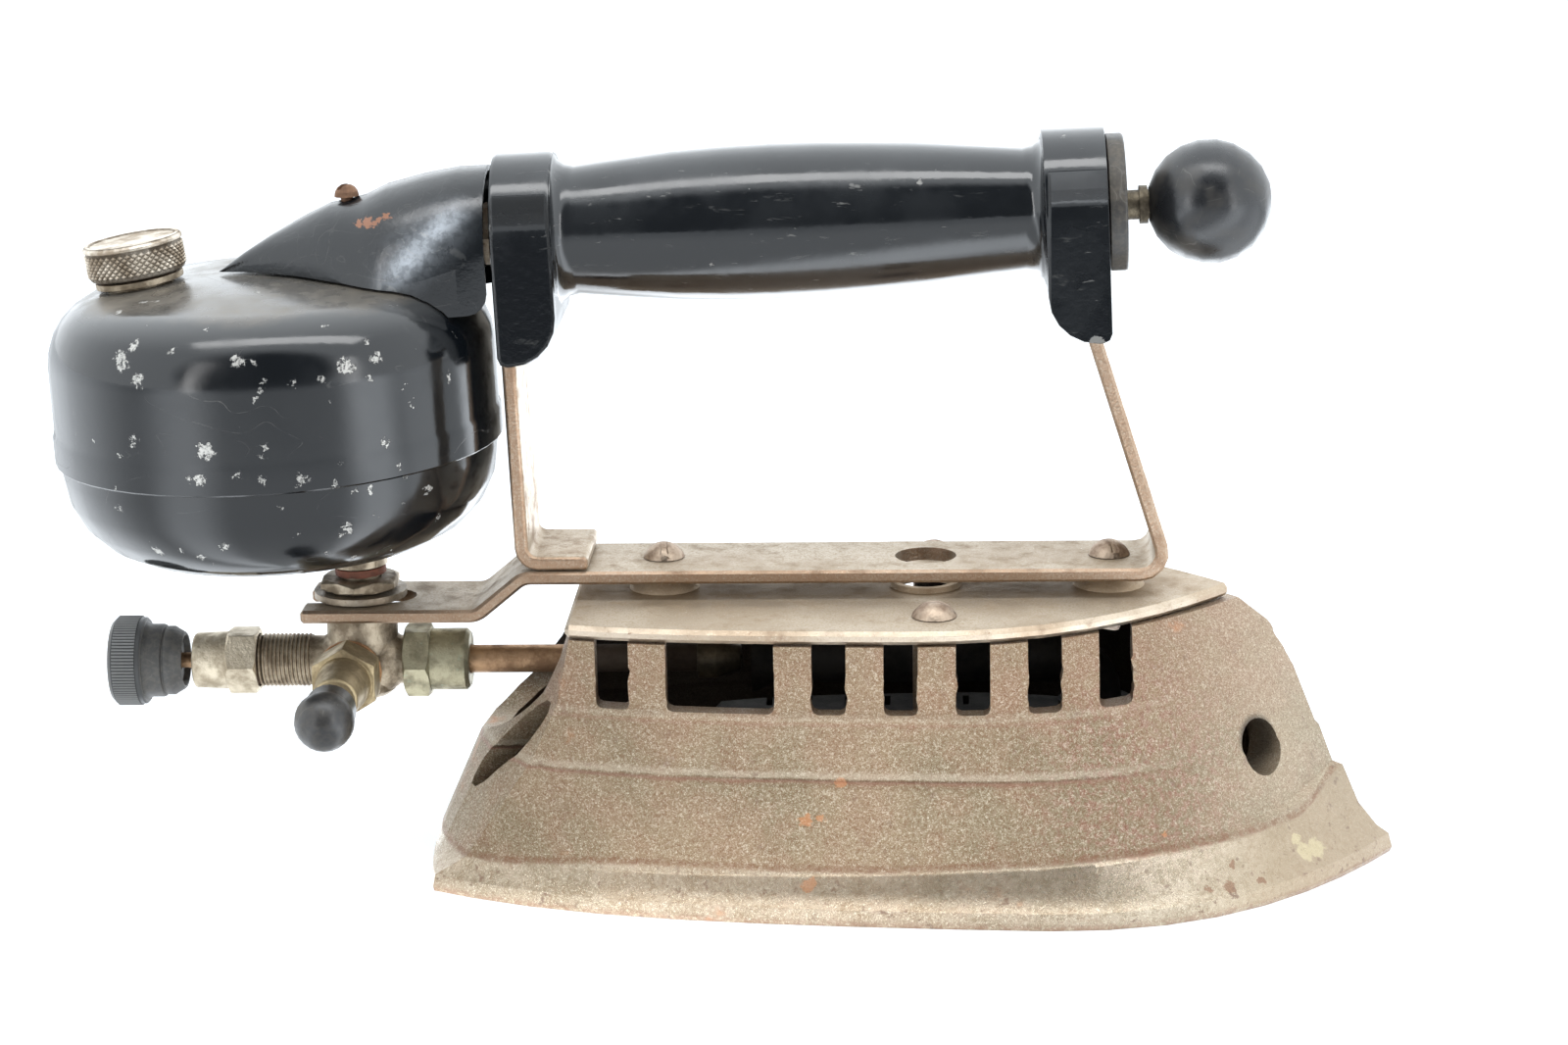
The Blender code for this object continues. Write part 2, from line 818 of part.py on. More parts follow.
def make_cover_plate():
    def outline(inset):
        return boat_outline(
            plate_rear - inset, plate_corner_half - inset, 0, plate_widest, plate_half_width - inset,
            plate_nose - inset * 2, bulge_steps=1, aft_steps=6, fore_steps=9,
        )

    look = "worn_nickel_sheet"
    plate = place("cover_plate", extruded("cover_plate", outline(0), plate_bottom(), plate_top()), look)
    round_edges(plate, plate_edge_round, 1, radians(50))
    under = extruded("under_plate", outline(plate_sheet), plate_bottom() - overrun, plate_top() - plate_sheet)
    cut(plate, cutter("under_plate", under))
    boss_height = strap_top - strap_thickness - plate_top() - gap
    boss = [
        (boss_foot / 2, plate_top() - plate_sheet / 2),
        (boss_foot / 2 * boss_waist_share, plate_top() + boss_height * boss_bend_share),
        (boss_top / 2, plate_top() + boss_height),
    ]
    rim = rod("plate_ring", ring_outer, plate_top() - plate_sheet / 2, plate_top() + ring_height, 24)
    raised = [(rim, (0, 0, 0))]
    low, high = plate_bottom() - overrun, plate_top() + boss_height + overrun
    drills = [(rod("plate_hole", ring_inner, low, high, 24), (0, 0, 0))]
    for x in (strap_screw_rear_x, strap_screw_front_x):
        raised.append((solid_turning("boss", boss, 20), (x, 0, 0)))
        drills.append((rod("boss_drill", strap_screw_hole, low, high, 12), (x, 0, 0)))
    for side in (-1, 1):
        drill = rod("plate_drill", cover_screw_hole, low, high, 12)
        drills.append((drill, (cover_screw_x, side * cover_screw_y, 0)))
    join(plate, cutter("plate_bosses", gathered("plate_bosses", raised)))
    cut(plate, cutter("plate_drills", gathered("plate_drills", drills)))


def dome_screw(name, head, head_height, shank, length, look, frame=None, at=(0, 0, 0), slot_turn=0):
    # a low round head with a slot, and a plain shank below it
    cap_radius = (head * head / 4 + head_height * head_height) / (2 * head_height)
    spread = asin(head / 2 / cap_radius)
    steps = 4
    dome = [
        (cap_radius * sin(spread * (1 - i / steps)), cap_radius * cos(spread * (1 - i / steps)))
        for i in range(steps)
    ]
    low = cap_radius * cos(spread)
    outline = [(shank / 2, -length), (shank / 2, 0)]
    outline += [(radius, height - low) for radius, height in dome]
    profile = [(0, -length)] + outline + [(0, head_height)]
    screw = place(name, turned(name, profile, 16), look, frame, at)
    slot = box(
        (-head, -screw_slot / 2, head_height * 0.55),
        (head, screw_slot / 2, head_height + overrun),
    )
    turn = (0, 0, slot_turn)
    cut(screw, cutter(name + "_slot", to_mesh(name, slot), frame, at, turn))
    return screw


def make_cover_screws():
    seat = plate_top() + gap
    length = plate_sheet + cover_screw_depth
    for side, name, turn in ((-1, "cover_screw_near", radians(70)), (1, "cover_screw_far", radians(20))):
        at = (cover_screw_x, side * cover_screw_y, seat)
        dome_screw(name, cover_head, cover_head_height, cover_screw_shank, length,
                   "worn_nickel_sheet", at=at, slot_turn=turn)


# strap and legs


def handle_frame_point(x, z):
    # a place on the tipped frame of the tank and handle, in world coordinates
    return (
        outlet_x + x * cos(tank_tilt) - z * sin(tank_tilt),
        tank_seat_height + x * sin(tank_tilt) + z * cos(tank_tilt),
    )


def make_strap():
    middle = strap_top - strap_thickness / 2
    low = middle - joggle_drop
    corners = [
        (tongue_end_x, low),
        (joggle_foot_x, low),
        (joggle_top_x, middle),
        (front_bend_x, middle),
        (
            front_bend_x - front_leg_length * sin(front_leg_lean),
            middle + front_leg_length * cos(front_leg_lean),
        ),
    ]
    mesh = bent_strip("strap", corners, strap_bend, strap_thickness, strap_width)
    strap = place("strap", mesh, "worn_nickel_sheet")
    round_edges(strap, strap_edge_round, 1, radians(60))
    hole = rod("strap_hole", strap_hole, middle - overrun, middle + overrun, 28)
    cut(strap, cutter("strap_hole", hole))
    for name, x in (("strap_drill_rear", strap_screw_rear_x), ("strap_drill_front", strap_screw_front_x)):
        drill = rod(name, strap_screw_hole, middle - overrun, middle + overrun, 12)
        cut(strap, cutter(name, drill, at=(x, 0, 0)))
    # the tongue is forked, so that the valve's riser can be slipped in from the rear
    radius = tongue_slot_width / 2
    front = (tongue_slot_front_x - radius, 0)
    outline = [(tongue_end_x - overrun, radius), (tongue_end_x - overrun, -radius)]
    outline += arc(front, radius, -quarter_turn, quarter_turn, 8)
    slot = extruded("tongue_slot", outline, low - overrun, low + overrun)
    cut(strap, cutter("tongue_slot", slot))


def make_rear_leg():
    # the upright lies in the rear block's rebate, square to the handle, so it leans with the tank
    upright_x = block_rear_x + gap + leg_thickness / 2
    foot_z = strap_top + gap + leg_thickness / 2
    local_z = (foot_z - tank_seat_height - upright_x * sin(tank_tilt)) / cos(tank_tilt)
    corner = handle_frame_point(upright_x, local_z)
    top = handle_frame_point(upright_x, handle_axis_height + barrel_radius)
    corners = [(foot_end_x, foot_z), corner, top]
    leg = place("rear_leg", bent_strip("rear_leg", corners, leg_bend, leg_thickness, strap_width),
                "rusty_steel")
    round_edges(leg, strap_edge_round, 1, radians(60))
    axis = handle_frame_point(block_rear_x, handle_axis_height)
    hole = rod("leg_hole", spigot_radius * 2 + gap * 2, -overrun, leg_thickness + overrun, 16)
    cut(leg, cutter("leg_hole", hole, at=(axis[0], 0, axis[1]), turn=(0, quarter_turn - tank_tilt, 0)))


def make_strap_screws():
    under = plate_top() - plate_sheet - gap
    length = strap_top + gap - under + strap_nut_height + gap
    places = (
        ("rear", strap_screw_rear_x, radians(82)),
        ("front", strap_screw_front_x, radians(75)),
    )
    for word, x, turn in places:
        dome_screw("strap_screw_" + word, strap_head, strap_head_height, strap_screw_shank, length,
                   "worn_nickel_sheet", at=(x, 0, strap_top + gap), slot_turn=turn)
        nut = plain_nut("strap_nut_" + word, strap_nut_flats, under - strap_nut_height, under,
                        strap_screw_shank + gap * 2)
        place("strap_nut_" + word, nut, "rusty_steel", at=(x, 0, 0))


# burner, mixing tube and generator


def make_burner():
    low = floor_thickness + gap
    deck = low + burner_foot_height
    top = deck + burner_height
    outline = boat_outline(
        burner_rear, burner_half_width * 0.6, 0, burner_front * 0.1, burner_half_width, burner_front,
        bulge_steps=1, aft_steps=6, fore_steps=8,
    )
    burner = place("burner", extruded("burner", outline, deck, top), "burnt_iron")
    round_edges(burner, burner_round, 1, radians(50))
    socket_low, socket_top = deck + burner_height * burner_socket_share, top + socket_height
    foot_top = deck + burner_height * burner_foot_share
    feet = [
        (rod("burner_foot", burner_foot_width, low, foot_top, 12), (x, 0, 0))
        for x in (-burner_foot_reach, burner_foot_reach)
    ]
    socket = rod("burner_socket", socket_width, socket_low, socket_top, 20)
    join(burner, cutter("burner_feet", gathered("burner_feet", feet + [(socket, (socket_x, 0, 0))])))
    bore = rod("socket_bore", mixing_outer + gap * 2, socket_top - socket_depth, socket_top + overrun, 20)
    holes = [(bore, (socket_x, 0, 0))]
    for side in (-1, 1):
        for i in range(burner_slot_count):
            x = (i - (burner_slot_count - 1) / 2) * burner_slot_pitch
            y = side * burner_slot_offset
            if hypot(x - socket_x, y) < socket_width:
                continue
            slot = box(
                (-burner_slot_width / 2, -burner_slot_length / 2, top - burner_slot_depth),
                (burner_slot_width / 2, burner_slot_length / 2, top + overrun),
            )
            holes.append((to_mesh("burner_slot", slot), (x, y, 0)))
    cut(burner, cutter("burner_holes", gathered("burner_holes", holes)))
    return socket_top - socket_depth


def make_mixing_tube(socket_floor):
    corners = [
        (mixing_rear_x, valve_axis_height),
        (socket_x, valve_axis_height),
        (socket_x, socket_floor + gap),
    ]
    path = bent_path(corners, mixing_bend, 5)
    mouth = mixing_mouth_length
    flare_steps = 4
    flare = [
        Vector((mixing_rear_x + mouth * i / flare_steps, valve_axis_height))
        for i in range(flare_steps + 1)
    ]
    outers = [
        between(mixing_mouth, mixing_outer, smooth_step(i / flare_steps)) for i in range(flare_steps + 1)
    ]
    path = flare + path[1:]
    outers += [mixing_outer] * (len(path) - len(flare))
    place("mixing_tube", pipe("mixing_tube", path, outers, mixing_bore, 14), "burnt_iron")


def along_x(name, mesh, look, x=0, frame=None, z=None, y=0):
    # a turned piece whose height runs forward from x
    z = valve_axis_height if z is None else z
    return place(name, mesh, look, frame, (x, y, z), (0, quarter_turn, 0))


def make_generator():
    tube = ring_turning(
        "generator_tube", generator_outer, generator_bore, generator_rear_x, generator_front_x
    )
    along_x("generator_tube", tube, "brown_copper")
    rear = generator_front_x - tip_socket_depth + gap
    seat = generator_front_x + gap
    profile = [
        (generator_outer / 2 + gap, rear), (tip_outer / 2, rear), (tip_outer / 2, seat),
        (tip_outer * 0.3, tip_front_x), (tip_orifice / 2, tip_front_x), (tip_orifice / 2, seat),
        (generator_outer / 2 + gap, seat),
    ]
    along_x("gas_tip", turned("gas_tip", profile, 20, closed=True), "old_brass")


def make_valve():
    look = "old_brass"
    axis = (0, 0, valve_axis_height)
    forward = (0, quarter_turn, 0)
    plain, thread = barrel_outer / 2, barrel_thread / 2
    body_end = generator_rear_x - gap
    neck = outlet_x - body_radius
    outline = [
        (thread - edge_break, body_rear_x), (thread, body_rear_x + edge_break),
        (thread, body_plain_x), (plain, body_plain_x + edge_break),
        (plain, neck - edge_break), (body_waist / 2, outlet_x - body_core),
        (body_waist / 2, outlet_x + body_core), (plain, outlet_x + body_radius),
        (plain, body_end),
    ]
    body = place("valve_body", solid_turning("valve_body", outline, 20), look, at=axis, turn=forward)

    tongue_bottom = strap_top - strap_thickness - joggle_drop
    riser = [
        (body_bottom_radius * 0.8, -body_radius * 0.9), (body_bottom_radius, -body_radius * 0.75),
        (riser_boss / 2, body_radius * 0.55), (riser_boss / 2, tongue_bottom - valve_axis_height - gap),
        (riser_outer / 2, tongue_bottom - valve_axis_height - gap),
        (riser_outer / 2, riser_top - valve_axis_height - edge_break),
        (riser_outer / 2 - edge_break, riser_top - valve_axis_height),
    ]
    at_riser = (outlet_x, 0, valve_axis_height)
    join(body, cutter("valve_riser", solid_turning("valve_riser", riser, 20), at=at_riser))

    branch = [(branch_boss / 2, 0), (branch_boss / 2, branch_length)]
    at_branch = (branch_x, 0, valve_axis_height)
    sideways = (quarter_turn, 0, 0)
    join(body, cutter("valve_branch", solid_turning("valve_branch", branch, 24), at=at_branch, turn=sideways))

    needle = rod("needle_bore", needle_bore, body_rear_x - overrun, stem_tip_x + gap * 2, 16)
    cut(body, cutter("needle_bore", needle, at=axis, turn=forward))
    fuel = rod("fuel_bore", fuel_bore, stem_tip_x - overrun, body_end + overrun, 12)
    cut(body, cutter("fuel_bore", fuel, at=axis, turn=forward))
    top = riser_top - valve_axis_height + overrun
    cut(body, cutter("riser_bore", rod("riser_bore", riser_bore, 0, top, 16), at=at_riser))
    side = rod("side_bore", needle_bore, needle_bore, branch_length + overrun, 16)
    cut(body, cutter("side_bore", side, at=at_branch, turn=sideways))


def make_main_valve():
    axis = (0, 0, valve_axis_height)
    backward = (0, -quarter_turn, 0)
    # measured along -X, so a place x on the axis is a height -x
    start, shoulder, end = -packing_front_x, -packing_shoulder_x, -packing_rear_x
    inside = -body_rear_x + gap + leg_thickness
    nose = [
        (packing_large / 2, shoulder), (packing_small / 2, end - edge_break),
        (packing_small / 2 - edge_break, end),
    ]
    bore = [
        (stem_diameter / 2 + gap, end), (stem_diameter / 2 + gap, inside),
        (barrel_thread / 2 + gap, inside), (barrel_thread / 2 + gap, start),
    ]
    nut = nut_mesh("packing_nut", packing_flats, start, shoulder, nose, bore, 4)
    place("packing_nut", nut, "old_brass", at=axis, turn=backward)
    packing = ring_turning("stem_packing", barrel_thread - gap, stem_diameter + gap * 2,
                           -body_rear_x + gap, inside - gap)
    place("stem_packing", packing, "leather", at=axis, turn=backward)

    joint = frame_at("main_valve_axis", (knob_front_x, 0, valve_axis_height), backward)
    tip, tail = -stem_tip_x + knob_front_x, -knob_disc_x + knob_front_x
    stem = [
        (stem_diameter * 0.1, tip), (stem_diameter / 2, tip + stem_diameter),
        (stem_diameter / 2, tail),
    ]
    place("valve_stem", solid_turning("valve_stem", stem), "brown_copper", joint)
    front, hub = 0, -knob_hub_x + knob_front_x
    disc, rear = -knob_disc_x + knob_front_x, -knob_rear_x + knob_front_x
    bore = stem_diameter / 2 + gap
    knob = [
        (bore, front + knob_recess), (knob_nose / 2 - knob_recess, front + knob_recess),
        (knob_nose / 2 - knob_recess * 0.7, front), (knob_nose / 2, front),
        (knob_hub / 2, hub), (knob_hub / 2, disc - edge_break * 3),
        (knob_hub / 2 + edge_break, disc - edge_break),
        (knob_disc / 2 - edge_break, disc - edge_break), (knob_disc / 2, disc + edge_break),
        (knob_disc / 2, rear - edge_break * 2), (knob_disc / 2 - edge_break * 2, rear), (0, rear),
    ]
    knob = [(0, disc + gap), (bore, disc + gap)] + knob
    place("valve_knob", turned("valve_knob", knob, 32), "black_phenolic", joint)


def frame_at(name, location, turn=(0, 0, 0), parent=None):
    empty = bpy.data.objects.new(name, None)
    bpy.context.collection.objects.link(empty)
    empty.empty_display_size = body_radius
    empty.location = location
    empty.rotation_euler = turn
    empty.parent = parent
    return empty


def make_side_valve():
    sideways = (quarter_turn, 0, 0)
    axis = (branch_x, 0, valve_axis_height)
    low = branch_length + gap
    ring = ring_turning("bonnet_gasket", bonnet_gasket_outer, stem_diameter + gap * 6, low,
                        low + bonnet_gasket_thickness)
    place("bonnet_gasket", ring, "bright_copper", at=axis, turn=sideways)
    start = low + bonnet_gasket_thickness + gap
    shoulder, end = start + bonnet_hex_length, start + bonnet_length
    nose = [
        (bonnet_root / 2, shoulder), (bonnet_end / 2, end - edge_break),
        (bonnet_end / 2 - edge_break, end),
    ]
    bore = [(stem_diameter / 2 + gap, end), (stem_diameter / 2 + gap, start)]
    nut = nut_mesh("side_bonnet", bonnet_flats, start, shoulder, nose, bore, 4)
    place("side_bonnet", nut, "old_brass", at=axis, turn=sideways)

    joint = frame_at("side_valve_axis", (branch_x, side_knob_centre_y, valve_axis_height), sideways)
    skirt = -side_knob_skirt_length
    tip = side_knob_centre_y + needle_bore + gap * 4
    stem = [
        (stem_diameter * 0.1, tip), (stem_diameter / 2, tip + stem_diameter),
        (stem_diameter / 2, -gap),
    ]
    place("side_stem", solid_turning("side_stem", stem), "brown_copper", joint)
    bore = stem_diameter / 2 + gap
    ball = arc((0, 0), side_knob_radius, -radians(20), quarter_turn, 6)
    knob = [(bore, skirt), (side_knob_skirt / 2 - edge_break, skirt)]
    knob += [(side_knob_skirt / 2, skirt + edge_break)]
    knob += [(side_knob_skirt / 2, -side_knob_radius * 0.5)] + ball[:-1] + [(0, side_knob_radius)]
    knob = [(0, 0), (bore, 0)] + knob
    place("side_knob", turned("side_knob", knob, 24), "black_phenolic", joint)


def make_coupling_nut():
    axis = (0, 0, valve_axis_height)
    forward = (0, quarter_turn, 0)
    seat = generator_rear_x
    floor = seat + leg_thickness
    nose = [
        (coupling_round / 2, coupling_shoulder_x), (coupling_round / 2, coupling_front_x - edge_break * 2),
        (coupling_round / 2 - edge_break * 2, coupling_front_x),
    ]
    bore = [
        (generator_outer / 2 + gap, coupling_front_x), (generator_outer / 2 + gap, floor),
        (coupling_thread / 2 + gap, floor), (coupling_thread / 2 + gap, coupling_rear_x),
    ]
    nut = nut_mesh("coupling_nut", coupling_flats, coupling_rear_x, coupling_shoulder_x, nose, bore, 4)
    place("coupling_nut", nut, "green_brass", at=axis, turn=forward)


def make_outlet_stack(tank):
    tongue_top = strap_top - joggle_drop
    at = (outlet_x, 0, 0)
    low = tongue_top + gap
    washer = ring_turning("outlet_washer", washer_outer, washer_inner, low, low + washer_thickness)
    place("outlet_washer", washer, "worn_nickel_sheet", at=at)
    low += washer_thickness + gap
    nut = plain_nut("lock_nut", lock_nut_flats, low, low + lock_nut_height, washer_inner)
    place("lock_nut", nut, "old_brass", at=at)
    # the gasket and bush follow the tank's tilt
    bush_low = -gap - bush_height
    seat = pan_bottom - gap
    inside = pan_bottom + sheet + gap
    bush = [
        (bush_bore / 2, bush_low), (bush_outer / 2, bush_low),
        (bush_outer / 2, seat - bush_flange_height), (bush_flange / 2, seat - bush_flange_height),
        (bush_flange / 2, seat), (outlet_hole / 2 - gap, seat),
        (outlet_hole / 2 - gap, inside), (bush_bore / 2, inside),
    ]
    place("outlet_bush", turned("outlet_bush", bush, 28, closed=True), "old_brass", tank)
    high = bush_low - gap
    gasket = ring_turning("outlet_gasket", gasket_outer, bush_bore, high - gasket_thickness, high)
    place("outlet_gasket", gasket, "red_fibre", tank)


# tank


def dome_height(radius):
    # outer surface of the tank's top, above its bottom
    return dome_crown() - (dome_radius - sqrt(dome_radius ** 2 - radius ** 2))


def dome_edge():
    # where the dome meets the shoulder: radius and the shoulder's angle there
    centre = tank_radius - shoulder_round
    angle = acos(centre / (dome_radius - shoulder_round))
    return centre + shoulder_round * cos(angle), angle


def dome_crown():
    radius, angle = dome_edge()
    drop = dome_radius - sqrt(dome_radius ** 2 - radius ** 2)
    return shoulder_height + shoulder_round * sin(angle) + drop


# heights that follow the top of the tank
handle_axis_height = dome_crown() + handle_over_dome
hood_corner_level = handle_axis_height - hood_corner_drop


def tank_top_profile(inset):
    # from the middle of the dome down to the foot of the straight wall
    edge, angle = dome_edge()
    edge_angle = asin(edge / dome_radius)
    centre_height = dome_crown() - dome_radius
    steps = 3
    points = [
        (
            (dome_radius - inset) * sin(edge_angle * i / steps),
            centre_height + (dome_radius - inset) * cos(edge_angle * i / steps),
        )
        for i in range(steps + 1)
    ]
    centre = (tank_radius - shoulder_round, shoulder_height)
    points += arc(centre, shoulder_round - inset, angle, 0, 4 if inset > 0 else 6)[1:]
    return points


def make_tank(tank):
    look = "black_enamel"
    # upper shell, with a skirt that laps over the lower one
    skirt_top = seam_height + skirt_height
    skirt_inner = lower_radius + gap
    outer = tank_top_profile(0)
    outer += [(tank_radius, skirt_top + skirt_proud * 2)]
    outer += [(tank_radius + skirt_proud, skirt_top - skirt_proud)]
    outer += [(tank_radius + skirt_proud, seam_height + skirt_proud), (tank_radius, seam_height)]
    inner = tank_top_profile(sheet)
    inner += [(tank_radius - sheet, skirt_top + gap), (skirt_inner, skirt_top), (skirt_inner, seam_height)]
    profile = outer + inner[::-1]
    shell = turned("tank_upper_shell", profile, 48)
    upper = place("tank_upper_shell", shell, look, tank, (tank_axis_x, 0, 0))
    air = rod("air_hole", elbow_foot * 2, 0, dome_crown() + overrun, 12)
    cut(upper, cutter("air_hole", air, tank, (hood_screw_x, 0, 0)))

    # lower shell, a dished pan
    centre = (lower_radius - bottom_round, pan_bottom + bottom_round)
    outer = [(lower_radius, skirt_top - gap)]
    outer += arc(centre, bottom_round, 0, -quarter_turn, 5) + [(0, pan_bottom)]
    inner = [(0, pan_bottom + sheet)] + arc(centre, bottom_round - sheet, -quarter_turn, 0, 5)
    inner += [(lower_radius - sheet, skirt_top - gap)]
    pan = turned("tank_lower_shell", inner + outer, 48)
    lower = place("tank_lower_shell", pan, look, tank, (tank_axis_x, 0, 0))
    hole = rod("outlet_hole", outlet_hole, pan_bottom - overrun, pan_bottom + overrun, 28)
    cut(lower, cutter("outlet_hole", hole, tank))

    slope = asin(filler_offset / dome_radius)
    at = (tank_axis_x - filler_offset, 0, dome_height(filler_offset))
    filler = frame_at("filler_frame", at, (0, -slope, 0), tank)
    hole = rod("filler_hole", neck_outer + gap * 2, -overrun, overrun, 28)
    cut(upper, cutter("filler_hole", hole, filler))
    return filler


def make_filler(filler):
    low = gap + gap / 2
    top = low + neck_flange_height
    neck = [
        (neck_bore / 2, -neck_depth), (neck_outer / 2, -neck_depth), (neck_outer / 2, low),
        (neck_flange / 2, low), (neck_flange / 2, top), (neck_bore / 2, top),
    ]
    place("filler_neck", turned("filler_neck", neck, 28, closed=True), "old_brass", filler)
    low = top + gap
    lift = frame_at("filler_lift", (0, 0, low), (0, 0, 0), filler)
    ring = ring_turning("filler_gasket", filler_gasket_outer, cap_plug + gap * 2, 0, filler_gasket_thickness)
    place("filler_gasket", ring, "red_fibre", lift)
    low = filler_gasket_thickness + gap
    high = low + cap_height
    cap = [
        (cap_plug / 2 - edge_break, low - cap_plug_length),
        (cap_plug / 2, low - cap_plug_length + edge_break),
        (cap_plug / 2, low), (cap_outer / 2 - edge_break, low), (cap_outer / 2, low + edge_break),
        (cap_outer / 2, high - cap_rim), (cap_outer / 2 - cap_rim, high),
        (cap_outer / 2 - cap_rim * 1.6, high), (cap_outer / 2 - cap_rim * 2, high - cap_dish),
    ]
    place("filler_cap", solid_turning("filler_cap", cap, 32), "old_brass", lift)


# handle and pump

grip_radius_shares = (0.83, 0.90, 0.96, 0.99, 1.00, 0.99, 0.96, 0.92, 0.86, 0.80)


def block_outline(mirrored):
    # side view of an end block, x along the handle and z from its axis; the rounded corner faces the grip
    outline = [(0, block_radius), (block_length, block_radius)]
    outline += [(block_length, -block_drop + block_corner)]
    centre = (block_length - block_corner, -block_drop + block_corner)
    outline += arc(centre, block_corner, 0, -quarter_turn, 5)[1:]
    small = block_small_corner
    outline += arc((small, -block_drop + small), small, -quarter_turn, -2 * quarter_turn, 2)
    if mirrored:
        outline = [(block_length - x, z) for x, z in outline][::-1]
    return outline


def block_mesh(name, x, mirrored):
    # the side view carried across the handle, kept inside an arch seen from the end
    outline = [(x + px, pz) for px, pz in block_outline(mirrored)]
    return extruded(name, outline, -block_radius, block_radius, "Y")


def arch_mesh(name, low, high):
    outline = arc((0, 0), block_radius, 0, pi, 16)
    outline += [(-block_radius, -block_drop), (block_radius, -block_drop)]
    return extruded(name, outline, low, high, "X")


def make_handle(tank):
    look = "black_lacquer"
    axis = (0, 0, handle_axis_height)
    rear, front = block_rear_x, block_rear_x + handle_length
    grip_start, grip_end = rear + block_length, front - block_length

    core = block_radius * core_radius_share
    waist = block_radius * waist_radius_share
    waist_reach = block_length * waist_length_share
    profile = [(core, rear + block_length / 2), (waist, rear + waist_reach)]
    flare = block_radius * flare_radius_share
    first = grip_radius * grip_radius_shares[0]
    last = grip_radius * grip_radius_shares[-1]
    steps = 3
    for i in range(steps + 1):
        share = i / steps
        radius = flare - (flare - first) * sin(quarter_turn * share)
        profile.append((radius, grip_start + grip_fillet * (1 - cos(quarter_turn * share))))
    count = len(grip_radius_shares)
    for i, share in enumerate(grip_radius_shares[1:-1], 1):
        x = between(grip_start + grip_fillet, grip_end - grip_fillet, i / (count - 1))
        profile.append((grip_radius * share, x))
    for i in range(steps + 1):
        share = 1 - i / steps
        radius = flare - (flare - last) * sin(quarter_turn * share)
        profile.append((radius, grip_end - grip_fillet * (1 - cos(quarter_turn * share))))
    profile += [(waist, front - waist_reach), (core, front - block_length / 2)]
    mesh = solid_turning("handle_grip", profile, 32)
    grip = place("handle_grip", mesh, look, tank, axis, (0, quarter_turn, 0))

    for name, x, mirrored in (("rear_block", rear, False), ("front_block", front - block_length, True)):
        block = cutter(name, block_mesh(name, x, mirrored), tank, axis)
        arch = arch_mesh(name + "_arch", x - overrun, x + block_length + overrun)
        arch = cutter(name + "_arch", arch, tank, axis)
        keep_common(block, arch)
        round_edges(block, block_edge_round, 2, radians(50))
        join(grip, block)

    bore = rod("handle_bore", barrel_radius * 2 + gap * 2, rear - overrun, front + overrun, 32)
    cut(grip, cutter("handle_bore", bore, tank, axis, (0, quarter_turn, 0)))
    # rebate for the rear leg's upright, and a slanting slot for the front leg
    half = strap_width / 2 + gap
    rebate = box(
        (rear - overrun, -half, -block_drop - overrun),
        (rear + leg_thickness + gap * 2, half, barrel_radius + gap),
    )
    cut(grip, cutter("leg_rebate", to_mesh("leg_rebate", rebate), tank, axis))
    foot_x = front_bend_x
    slot = box(
        (-strap_thickness / 2 - gap, -half, 0),
        (strap_thickness / 2 + gap, half, front_leg_length + gap),
    )
    at = (foot_x, 0, strap_top - strap_thickness / 2)
    cut(grip, cutter("front_leg_slot", to_mesh("front_leg_slot", slot), None, at, (0, -front_leg_lean, 0)))


